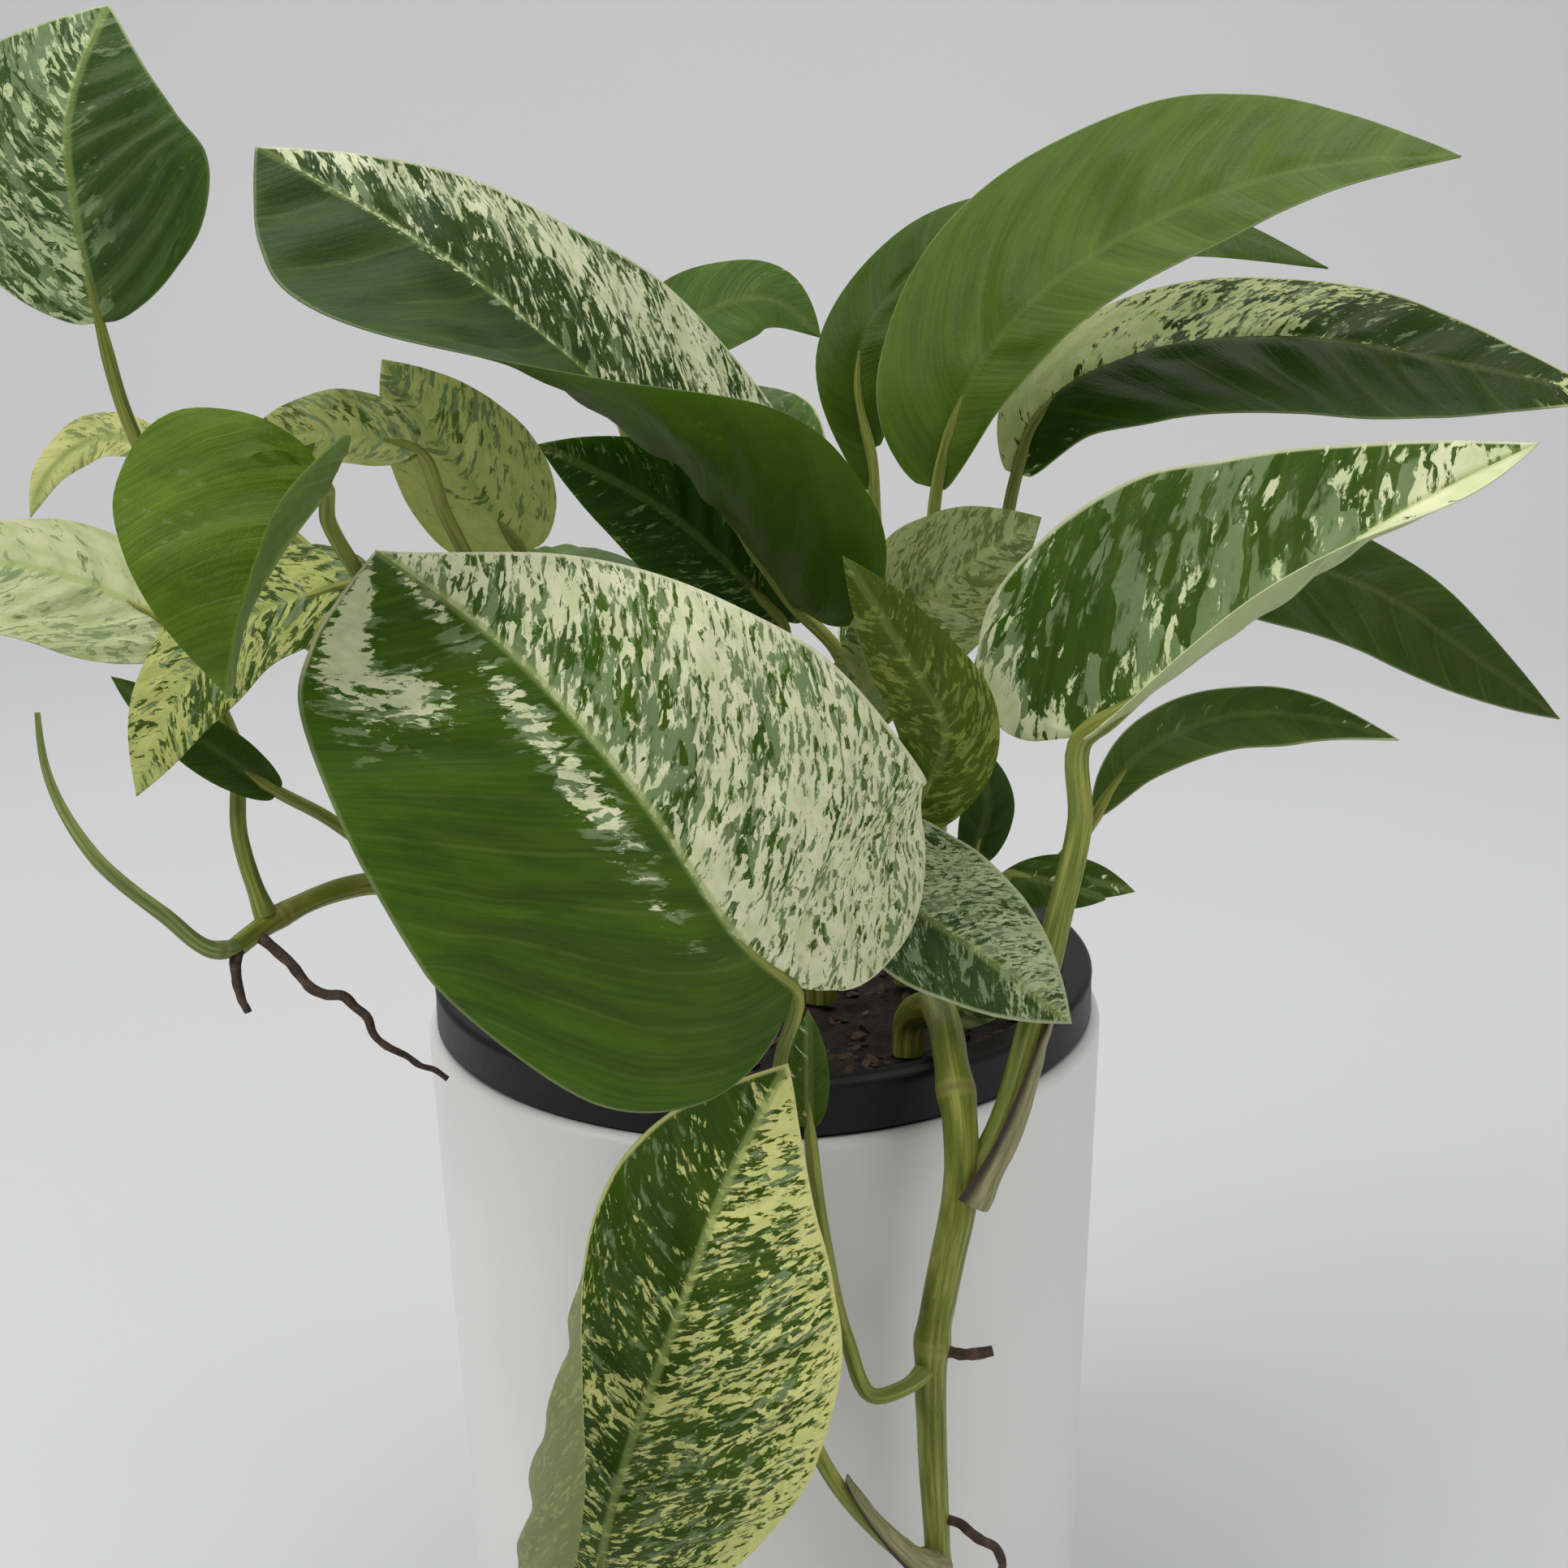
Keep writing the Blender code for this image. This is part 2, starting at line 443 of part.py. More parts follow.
def nursery_pot_profile():
    """The floor, the tapering wall, and the lip turned out and down at its top."""
    base = TOP - NURSERY_HEIGHT
    low, high = NURSERY_BASE_RADIUS, NURSERY_TOP_RADIUS
    skirt = TOP - LIP_HEIGHT
    return [
        (0.0, base), *arc((low - 2.0, base + 2.0), 2.0, -90, 0, 2), (high, skirt - 4.0), (high, TOP - 1.5),
        (LIP_RADIUS - LIP_WALL, TOP - 1.5), (LIP_RADIUS - LIP_WALL, skirt), (LIP_RADIUS, skirt),
        *arc((LIP_RADIUS - 0.7, TOP - 0.7), 0.7, 0, 90, 2), (high - NURSERY_WALL + 0.5, TOP),
        (high - NURSERY_WALL, TOP - 0.8), (high - NURSERY_WALL, skirt - 4.0),
        (low - NURSERY_WALL, base + 2.0), (low - NURSERY_WALL - 0.8, base + NURSERY_WALL), (0.0, base + NURSERY_WALL),
    ]


def soil_profile():
    """A plug that fills the nursery pot, a little crowned."""
    base = TOP - NURSERY_HEIGHT + NURSERY_WALL + GAP
    top = TOP - SOIL_DROP
    low = NURSERY_BASE_RADIUS - NURSERY_WALL - 1.2
    high = NURSERY_TOP_RADIUS - NURSERY_WALL - GAP
    wall_foot = TOP - LIP_HEIGHT - 4.0
    slope = (NURSERY_TOP_RADIUS - NURSERY_BASE_RADIUS) / (wall_foot - (TOP - NURSERY_HEIGHT) - 2.0)
    return [
        (0.0, base), (low, base), (high - slope * (wall_foot - base - 2.0), base + 2.0), (high, wall_foot),
        (high, top - 1.0), (high - 6.0, top - 0.4), (high - 20.0, top), (0.0, top),
    ]


def grow_leaf(name, spec, home, cutters, finish, parent):
    """A blade and its petiole as one closed body."""
    big = length_of(spec) > 45
    blade = shell(name, *(lambda p, f: (metres(p), f))(*closed_blade(spec, 13 if big else 9, 3 if big else 2, BLADE)))
    obj = link(bpy.data.objects.new(name, blade), home, finish, parent)
    route, radii = petiole(spec, 2 + len(spec["stalk"]))
    stalk = link(bpy.data.objects.new(name + "_petiole", tube(name + "_petiole", route, radii)), cutters, None)
    stalk.hide_render = True
    stalk.display_type = "WIRE"
    join = obj.modifiers.new("Petiole", "BOOLEAN")
    join.operation = "UNION"
    join.solver = "EXACT"
    join.object = stalk
    return obj


def main():
    for obj in list(bpy.data.objects):
        bpy.data.objects.remove(obj)
    scene = bpy.context.scene
    plant = bpy.data.collections.new("Potted Pothos")
    cutters = bpy.data.collections.new("Cutters")
    scene.collection.children.link(plant)
    scene.collection.children.link(cutters)
    cutters.hide_render = True
    root = bpy.data.objects.new("pothos", None)
    plant.objects.link(root)

    turned("outer_pot", outer_pot_profile(), plant, material("white_glazed_ceramic", (0.62, 0.62, 0.61), 0.45), root)
    turned("nursery_pot", nursery_pot_profile(), plant, material("black_plastic", (0.012, 0.012, 0.014), 0.5), root)
    turned("soil", soil_profile(), plant, material("potting_soil", (0.025, 0.014, 0.008), 0.95), root)

    for name, spec in {**STEMS, **ROOTS}.items():
        wood = name.startswith("root")
        count = 2 * len(spec["route"])
        u = np.linspace(0.0, 1.0, count)
        mesh = tube(name, through(spec["route"], u), girth_at(spec["girth"], u), 1 if wood else 2)
        colour = (0.045, 0.022, 0.012) if wood else (0.10, 0.16, 0.025)
        link(bpy.data.objects.new(name, mesh), plant, material(name + "_skin", colour, 0.8 if wood else 0.45), root)

    for name, spec in LEAVES.items():
        finish = material(name + "_blade", TONES[spec["tone"]], 0.38, subsurface=0.1)
        grow_leaf(name, spec, plant, cutters, finish, root)


main()
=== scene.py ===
"""A potted marble-queen pothos around its fixed frame: lathe-turned pots, potting mix with bark and perlite, jointed
stems, aerial roots, petioles with dry sheaths, and leaves whose marbling follows their veins. Plant points are in
millimetres from the middle of the nursery pot's top, +Z up."""

import math

import bmesh
import bpy
import numpy as np
from bpy.props import FloatProperty, FloatVectorProperty, IntProperty, PointerProperty
from mathutils import Matrix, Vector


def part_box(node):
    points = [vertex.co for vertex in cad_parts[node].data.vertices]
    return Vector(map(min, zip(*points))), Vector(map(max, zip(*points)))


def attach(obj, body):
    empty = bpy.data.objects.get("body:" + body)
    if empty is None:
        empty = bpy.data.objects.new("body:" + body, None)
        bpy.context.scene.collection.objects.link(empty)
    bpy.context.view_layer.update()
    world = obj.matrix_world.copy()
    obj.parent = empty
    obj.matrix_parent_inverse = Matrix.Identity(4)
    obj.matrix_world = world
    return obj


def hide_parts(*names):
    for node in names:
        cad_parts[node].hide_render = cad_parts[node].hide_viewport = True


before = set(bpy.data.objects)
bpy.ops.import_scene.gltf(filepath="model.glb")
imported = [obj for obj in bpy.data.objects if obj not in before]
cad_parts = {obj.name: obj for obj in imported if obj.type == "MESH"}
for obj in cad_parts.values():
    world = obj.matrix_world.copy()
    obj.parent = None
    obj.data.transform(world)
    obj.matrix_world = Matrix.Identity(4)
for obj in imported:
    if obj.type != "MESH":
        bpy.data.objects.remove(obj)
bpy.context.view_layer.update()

POT_WIDTH = 0.117     # the outer pot's width, in metres, at which the plant has its own size
STEM_GAP = 0.3        # millimetres from the soil up to a stem's foot
SCALE = (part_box("outer_pot")[1].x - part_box("outer_pot")[0].x) / POT_WIDTH
LIP_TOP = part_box("nursery_pot")[1].z * 1000.0
SOIL = (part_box("soil")[1].z * 1000.0 + STEM_GAP - LIP_TOP) / SCALE

bl_info = {
    "name": "Potted Pothos",
    "version": (1, 0, 0),
    "blender": (4, 5, 0),
    "location": "3D View > Sidebar > Pothos",
    "description": "Builds a potted marble-queen pothos, piece by piece",
    "category": "Add Mesh",
}

# Outlines of a half leaf from the sinus, round its lobe, to the tip: along the midrib as a share of the length, and
# out from it as a share of that half's width.
ROUND = (
    (0.0, 0.0), (-0.05, 0.15), (-0.05, 0.38), (0.0, 0.60), (0.10, 0.83), (0.25, 0.99),
    (0.42, 1.0), (0.57, 0.89), (0.72, 0.70), (0.86, 0.41), (0.95, 0.16), (1.0, 0.0),
)
HEART = (
    (0.0, 0.0), (-0.10, 0.12), (-0.15, 0.38), (-0.11, 0.68), (0.02, 0.91), (0.19, 1.0),
    (0.38, 0.95), (0.57, 0.75), (0.74, 0.48), (0.88, 0.22), (0.96, 0.07), (1.0, 0.0),
)
TEAR = (
    (0.0, 0.0), (-0.10, 0.14), (-0.15, 0.42), (-0.10, 0.72), (0.03, 0.95), (0.19, 1.0),
    (0.36, 0.95), (0.54, 0.72), (0.72, 0.42), (0.87, 0.20), (0.96, 0.06), (1.0, 0.0),
)
WEDGE = (
    (0.0, 0.0), (0.0, 0.12), (0.04, 0.34), (0.14, 0.63), (0.29, 0.89), (0.45, 1.0),
    (0.59, 0.96), (0.73, 0.75), (0.85, 0.45), (0.94, 0.19), (0.98, 0.07), (1.0, 0.0),
)
BLUNT = (
    (0.0, 0.0), (-0.03, 0.16), (-0.03, 0.36), (0.04, 0.63), (0.18, 0.88), (0.38, 1.0),
    (0.60, 0.93), (0.78, 0.80), (0.90, 0.64), (0.95, 0.45), (0.98, 0.22), (1.0, 0.0),
)
UPWARD = ((0, -0.65, 0.76),) * 3     # the way that most of the long leaves face


def stem(route, girth):
    """A stem's route, and its radius at the start, in the middle and at the end."""
    return dict(route=route, girth=girth)


def leaf(mid, wide, face=((0, -0.93, 0.35),) * 3, fold=((0, 0, 0), (0, 0, 0)), curl=((0, 0, 0), (0, 0, 0)),
         shape=(ROUND, ROUND), wave=0.4, stalk=None, girth=(1.3, 1.0), tone="green"):
    """The facts of one leaf: points along its midrib from joint to tip; the widths of its left and right halves;
    the way its face looks at base, middle and tip; how far each half folds up from the midrib, and curls from there
    to its margin, in degrees at base, middle and tip; the outlines of the halves; how far the margin waves; its
    petiole, which is the stem and the share of it where the petiole leaves, then points up to the joint; the
    petiole's radius at each end; and the leaf's tone."""
    return dict(mid=mid, wide=wide, face=face, fold=fold, curl=curl, shape=shape, wave=wave, stalk=stalk,
                girth=girth, tone=tone)


STEMS = {
    "stem_trailing": stem([(24, -22, SOIL), (24, -22, -5), (27, -32, 3), (28, -46, 6), (28, -57, 5.5), (29, -64, -3),
        (29, -65.5, -12), (27, -65, -25), (25, -64.5, -38), (25, -64, -55), (26, -63.5, -77), (26, -63, -100),
        (25, -63, -112)], (2.6, 2.6, 1.6)),
    "stem_left_runner": stem([(-22, -20, SOIL), (-22, -20.5, -5), (-29, -29, 8), (-42, -40, 24), (-59, -46, 30),
        (-71, -56, 28), (-75, -61, 26)], (2.6, 1.9, 1.5)),
    "leaf_left_rolled": stem([(-77.5, -63.5, 26.5), (-84, -64, 32), (-93, -64, 41), (-99, -62, 53), (-100, -60, 61)],
        (1.2, 1.0, 0.4)),
    "stem_crown_left": stem([(-8, -12, SOIL), (-8, -12, -5), (-12, -19, 12), (-22, -30, 36), (-34, -44, 58)],
        (2.8, 2.4, 1.6)),
    "stem_crown_middle": stem([(10, 2, SOIL), (10, 2, -5), (12, 0, 12), (13, -6, 32), (12, -12, 46)],
        (2.8, 2.4, 1.8)),
    "stem_crown_right": stem([(26, 10, SOIL), (26, 10, -5), (28, 8, 12), (32, 4, 30), (34, 2, 40)], (2.8, 2.4, 1.8)),
    "stem_crown_back": stem([(-4, 22, SOIL), (-4, 22, -5), (-6, 26, 10), (-4, 28, 32), (0, 28, 48)], (2.8, 2.4, 1.8)),
}

ROOTS = {
    "root_left": stem([(-68, -61, 24), (-64, -64, 21), (-57, -67, 19), (-54, -68, 14), (-50, -68, 11), (-45, -68, 8)],
        (0.9, 0.7, 0.4)),
    "root_left_stub": stem([(-74.5, -64.5, 22), (-74, -66, 20), (-73, -67, 18)], (0.9, 0.8, 0.5)),
    "root_front_upper": stem([(28.6, -65, -40), (31, -66, -39.5), (34, -66, -39)], (1.0, 0.9, 0.8)),
    "root_front_lower": stem([(29.5, -64.5, -70), (32, -66, -72), (35, -66.5, -73.5), (36, -66, -77), (34, -65, -81)],
        (0.8, 0.8, 0.5)),
}

LEAVES = {
    # In front of the pot.
    "leaf_front_large": leaf([(5, -73, 23), (-1, -79, 31), (-15, -84, 55), (-29, -80, 71), (-50, -66, 84)], (36, 33),
        ((0.1, -0.95, 0.3), (0.1, -0.95, 0.3), (0.3, -0.8, 0.5)), curl=((5, -5, 0), (0, 5, 0)), shape=(BLUNT, HEART),
        wave=0.7, stalk=("stem_trailing", 0.80, (22, -70, -73), (11, -70.5, -60), (3, -69.5, -40), (1, -69, -20),
        (1, -66.5, -4), (3, -65.5, 9)), tone="marbled"),
    "leaf_front_low": leaf([(-28, -69, -84), (-22, -77, -53), (-13, -80, -26), (-5, -77, -5), (4, -71.5, 11)],
        (31, 26), fold=((-20, -20, -10), (0, 0, 0)), curl=((190, 190, 70), (10, 0, 0)), shape=(ROUND, WEDGE),
        stalk=("stem_trailing", 0.94, (16, -70, -104), (-4, -76, -102), (-22, -71, -94)), tone="marbled"),
    # Left of the pot.
    "leaf_left_top": leaf([(-95, -30, 112), (-96, -32, 127), (-96, -32, 139), (-90, -26, 156)], (20, 20),
        shape=(WEDGE, WEDGE), stalk=("stem_crown_left", 0.7, (-36, -27, 50), (-60, -28, 58), (-80, -30, 74),
        (-92, -31, 98)), tone="marbled"),
    "leaf_left_long": leaf([(6, -22, 67), (-8, -33, 88), (-25, -44, 107), (-39, -52, 120), (-63, -60, 136)], (34, 24),
        ((0.3, -0.5, 0.8), (0.3, -0.5, 0.8), (0.2, -0.6, 0.7)), ((40, 0, 0), (10, 10, 0)),
        ((105, 88, -10), (20, 10, 0)), (BLUNT, ROUND), stalk=("stem_crown_middle", 0.8, (16, -13, 44), (13, -18, 58)),
        tone="marbled"),
    "leaf_left_heart": leaf([(-54, -78, 94), (-59, -84, 87), (-63, -88, 79), (-66, -86, 69)], (16, 23),
        fold=((80, 80, 60), (0, 0, 0)), shape=(HEART, HEART), stalk=("stem_crown_left", 0.97, (-44, -51, 62),
        (-51, -61, 76), (-55, -71, 89))),
    "leaf_left_arch": leaf([(-91, -22, 93), (-100, -20, 94), (-107, -20, 90), (-112, -20, 82)], (3, 4),
        stalk=("stem_crown_left", 0.8, (-44, -34, 60), (-66, -28, 76), (-82, -23, 89)), tone="cream"),
    "leaf_left_cream": leaf([(-84, -46, 70), (-96, -44, 76), (-112, -42, 79), (-130, -42, 76)], (13, 11), UPWARD,
        curl=((10, 10, 10), (-20, -20, 0)), stalk=("stem_left_runner", 0.93, (-75, -54, 40), (-77, -45, 52),
        (-81, -44, 62)), tone="cream"),
    "leaf_left_marbled": leaf([(-56, -53, 77), (-70, -57, 73), (-80, -58, 63), (-88, -58, 48)], (9, 11), UPWARD,
        stalk=("stem_crown_left", 0.88, (-40, -44, 60), (-50, -49, 72)), tone="marbled"),
    "leaf_left_narrow": leaf([(-71, -51, 47), (-81, -52, 55), (-92, -51.5, 64)], (4, 4), girth=(1.2, 0.9),
        stalk=("stem_left_runner", 0.62, (-57, -44, 34), (-64, -47, 41))),
    "leaf_left_yellow": leaf([(-34, -42, 80), (-42, -48, 94), (-50, -52, 108)], (9, 11),
        stalk=("stem_crown_left", 0.99, (-34, -43, 66), (-34, -42, 73)), tone="cream"),
    "leaf_left_pale": leaf([(-46, -58, 97), (-55, -60, 99), (-68, -62, 98)], (4, 6),
        stalk=("stem_crown_left", 0.75, (-26, -43, 46), (-34, -50, 66), (-42, -56, 87)), tone="cream"),
    "leaf_behind_long": leaf([(4, -12, 62), (-12, -20, 80), (-32, -28, 93)], (10, 11),
        stalk=("stem_crown_middle", 0.9, (8, -10, 46), (5, -11, 54)), tone="dark"),
    "leaf_behind_tip": leaf([(-20, 30, 101), (-8, 33, 108), (3, 34, 110), (12, 33, 103)], (8, 8),
        stalk=("stem_crown_back", 0.98, (-8, 25, 60), (-19, 22, 80), (-23, 22, 93))),
    # Right of the pot.
    "leaf_right_olive": leaf([(20, 20, 85), (18, 21, 101), (31, 25, 117), (58, 30, 124), (98, 22, 114)], (8, 14),
        UPWARD, shape=(ROUND, WEDGE), stalk=("stem_crown_right", 0.8, (26, 14, 48), (21, 18, 70)), tone="dark"),
    "leaf_right_large": leaf([(30, 0, 81), (34, -4, 97), (43, -7, 110), (60, -10, 122), (82, -12, 130),
        (108, -14, 132)], (25, 10), UPWARD, shape=(WEDGE, WEDGE), stalk=("stem_crown_right", 0.9, (30, -1, 48),
        (29, -2, 66))),
    "leaf_right_marbled": leaf([(44, 8, 82), (49, 8, 94), (62, 8, 101), (89, 4, 104), (113, -1, 100), (139, -4, 94)],
        (14, 17), UPWARD, shape=(WEDGE, WEDGE), stalk=("stem_crown_right", 0.97, (38, 4, 50), (41, 6, 66)),
        tone="marbled"),
    "leaf_right_folded": leaf([(49, -42, 50), (58, -46, 58), (73, -48, 70), (88, -48, 81), (112, -46, 93)], (28, 9),
        ((-0.2, -0.9, 0.4), (-0.2, -0.9, 0.4), (-0.2, -0.9, 0.4)), ((0, 0, 0), (60, 60, 20)),
        ((0, 10, 0), (60, 60, 20)), (TEAR, WEDGE), girth=(2.4, 1.7), stalk=("stem_trailing", 0.40, (34, -64, -6),
        (40, -58, 10), (44, -53, 24), (48, -47, 38)), tone="marbled"),
    "leaf_right_dark": leaf([(60, -20, 76), (80, -20, 73), (99, -22, 66), (112, -24, 57), (126, -26, 47)], (10, 13),
        UPWARD, stalk=("stem_crown_right", 0.99, (44, -8, 48), (54, -18, 66)), tone="dark"),
    "leaf_right_low": leaf([(53, -30, 34), (60, -28, 43), (72, -27, 48), (86, -26, 48), (101, -26, 44)], (6, 6),
        UPWARD, shape=(WEDGE, WEDGE), stalk=("stem_crown_right", 0.5, (38, -8, 14), (46, -24, 22))),
    "leaf_behind_cream": leaf([(17, -6, 55), (28, -13, 66), (45, -18, 79)], (15, 15), UPWARD,
        stalk=("stem_crown_middle", 0.95, (15, -7, 49)), tone="cream"),
    "leaf_middle_twisted": leaf([(23, -40, 38), (28, -46, 52), (21, -49, 66), (13, -48, 79)], (7, 8),
        stalk=("stem_crown_middle", 0.6, (18, -18, 26), (22, -32, 30)), tone="cream"),
    "leaf_middle_pale": leaf([(15, -38, 52), (17, -39, 60), (15, -38, 68)], (6, 6),
        stalk=("stem_crown_middle", 0.9, (14, -24, 46), (14, -33, 48)), tone="cream"),
    "leaf_right_speckled": leaf([(17, -46, 36), (23, -54, 28), (32, -61, 23), (45, -64, 13)], (12, 10),
        stalk=("stem_crown_middle", 0.5, (16, -20, 20), (14, -36, 34)), tone="marbled"),
    "leaf_middle_dark": leaf([(33, -38, 30), (35, -40, 40), (31, -42, 50)], (4, 4),
        stalk=("stem_crown_right", 0.42, (31, -16, 12), (31, -30, 22)), tone="dark"),
    "leaf_right_small": leaf([(38, -30, 21), (48, -32, 24), (59, -33, 22)], (4, 4),
        stalk=("stem_crown_right", 0.55, (34, -6, 19), (36, -20, 20))),
    "leaf_right_tiny": leaf([(40, -38, 27), (46, -40, 26), (53, -42, 24)], (3, 4),
        stalk=("stem_crown_right", 0.35, (38, -14, 6), (38, -30, 16))),
    "leaf_front_small": leaf([(7, -61, -3), (7, -61, 6), (7, -62, 15)], (3, 3),
        stalk=("stem_trailing", 0.575, (21, -69, -43), (16, -70, -44), (12, -67, -36), (9, -64, -22),
        (7.5, -62.5, -10))),
    "leaf_soil_pale": leaf([(31, -24, -2), (37, -28, 3), (43, -31, 6)], (4, 4),
        stalk=("stem_trailing", 0.06, (28, -22.5, -4)), tone="cream"),
    # At the back, where the plant is as full as in front.
    "leaf_back_middle": leaf([(0, 34, 72), (-4, 50, 88), (-10, 68, 92), (-16, 86, 82)], (17, 17),
        ((0, 0.3, 0.95),) * 3, stalk=("stem_crown_back", 0.98, (0, 30, 60)), tone="marbled"),
    "leaf_back_left": leaf([(-22, 34, 52), (-38, 48, 62), (-56, 58, 60), (-74, 66, 46)], (16, 16),
        ((-0.3, 0.3, 0.9),) * 3, stalk=("stem_crown_back", 0.8, (-12, 30, 44))),
    "leaf_back_right": leaf([(22, 36, 46), (36, 52, 58), (50, 66, 56), (62, 80, 42)], (15, 16),
        ((0.3, 0.3, 0.9),) * 3, stalk=("stem_crown_back", 0.7, (8, 30, 34)), tone="marbled"),
    "leaf_back_low": leaf([(-8, 44, 18), (-10, 60, 28), (-14, 78, 24), (-18, 92, 8)], (15, 15), ((0, 0.4, 0.9),) * 3,
        stalk=("stem_crown_back", 0.4, (-7, 34, 12))),
}


def chords(points):
    """The distances between neighbouring points."""
    return np.linalg.norm(np.diff(np.asarray(points, float), axis=0), axis=1)


def through(points, at):
    """Points on a smooth curve through the given ones, at shares of its length. Before 0 it runs on straight."""
    p = np.array(points, float)
    chord = chords(p)
    knot = np.concatenate([[0.0], np.cumsum(chord)])
    slope = np.diff(p, axis=0) / chord[:, None]
    turn = np.empty_like(p)
    turn[0], turn[-1] = slope[0], slope[-1]
    if len(p) > 2:
        share = (chord[:-1] / (chord[:-1] + chord[1:]))[:, None]
        turn[1:-1] = (1 - share) * slope[:-1] + share * slope[1:]
        turn[0], turn[-1] = 1.5 * slope[0] - 0.5 * turn[1], 1.5 * slope[-1] - 0.5 * turn[-2]
    u = np.asarray(at, float) * knot[-1]
    i = np.clip(np.searchsorted(knot, u, side="right") - 1, 0, len(chord) - 1)
    h = chord[i]
    t = np.clip((u - knot[i]) / h, 0.0, 1.0)[..., None]
    h = h[..., None]
    curve = ((2 * t**3 - 3 * t**2 + 1) * p[i] + (t**3 - 2 * t**2 + t) * h * turn[i]
             + (3 * t**2 - 2 * t**3) * p[i + 1] + (t**3 - t**2) * h * turn[i + 1])
    return curve + np.minimum(u, 0.0)[..., None] * turn[0]


def unit(v):
    """Vectors divided by their lengths."""
    return v / np.linalg.norm(v, axis=-1, keepdims=True)


def around(sides):
    """Angles evenly round a circle."""
    return np.linspace(0.0, 2 * np.pi, sides, endpoint=False)


def blend(three, u):
    """A smooth change from the first value at the base, through the second, to the third at the tip."""
    a, b, c = (np.asarray(v, float) for v in three)
    u = np.clip(u, 0.0, 1.0)
    if a.ndim:
        u = u[..., None]
    return a * (1 - u) * (1 - 2 * u) + b * 4 * u * (1 - u) + c * u * (2 * u - 1)


def length_of(spec):
    """The length of a leaf's midrib, as the sum of its chords."""
    return float(chords(spec["mid"]).sum())


def leaf_place(spec, along, out):
    """Where a flat leaf's points land, and their normals: along in mm from the joint, out in mm, + to the right."""
    length = length_of(spec)
    u = along / length
    middle = through(spec["mid"], u)
    step = 0.01
    ahead = unit(through(spec["mid"], np.minimum(u + step, 1.0)) - through(spec["mid"], np.minimum(u, 1.0) - step))
    up = blend(spec["face"], u)
    up = unit(up - (up * ahead).sum(-1, keepdims=True) * ahead)
    side = np.cross(ahead, up)
    right = out > 0
    width = np.where(right, spec["wide"][1], spec["wide"][0])
    fold, curl = (np.radians(np.where(right, blend(spec[k][1], u), blend(spec[k][0], u))) for k in ("fold", "curl"))
    curl = np.where(np.abs(curl) < LEAST_CURL, LEAST_CURL, curl)
    reach = np.abs(out) / width
    angle = fold + curl * reach
    across = width / curl * (np.sin(angle) - np.sin(fold)) * np.where(right, 1.0, -1.0)
    lift = width / curl * (np.cos(fold) - np.cos(angle))
    lift = lift + spec["wave"] * reach**2 * np.sin(5.2 * np.pi * u + np.where(right, 0.6, 2.4))
    spot = middle + across[..., None] * side + lift[..., None] * up
    normal = np.cos(angle)[..., None] * up - (np.sin(angle) * np.where(right, 1.0, -1.0))[..., None] * side
    left_fold, right_fold = (np.radians(blend(fold, u))[..., None] for fold in spec["fold"])
    mitre = (np.cos(left_fold) + np.cos(right_fold)) * up + (np.sin(left_fold) - np.sin(right_fold)) * side
    mitre = mitre / np.maximum(1.0 + np.cos(left_fold + right_fold), SHARP_MITRE)
    return spot, np.where((np.abs(out) < 1e-6)[..., None], mitre, normal)


def girth_at(three, u):
    """A tube's radius at shares of its length, straight between its start, middle and end."""
    return np.interp(u, (0.0, 0.5, 1.0), three)


def look(green=(0.055, 0.125, 0.012), left=-0.6, right=-0.6, patches=(), milk=0.25,
         under=(0.17, 0.23, 0.085), edge=0.0, fleck=1.0, rib=1.0, pale=(0.86, 0.87, 0.56), seed=0.0):
    """How one leaf is coloured: its green; how much of the left and right halves is cream, at base, middle and tip or
    as one number for all three, where 0 is hardly any, 1 nearly all and below -0.5 none; patches (fan, reach, fan
    radius, reach radius, change), with fan from 0 at the sinus to 1 at the tip and reach from -1 at the left margin
    to 1 at the right; how much of what isn't cream is milky green; the underside; a cream margin in mm; the flecks'
    size; how clear its midrib is, from 0 to 1; the cream; and a seed."""
    left, right = ((cover,) * 3 if isinstance(cover, float) else cover for cover in (left, right))
    return dict(green=green, left=left, right=right, patches=patches, milk=milk, under=under, edge=edge, fleck=fleck,
                rib=rib, pale=pale, seed=seed)


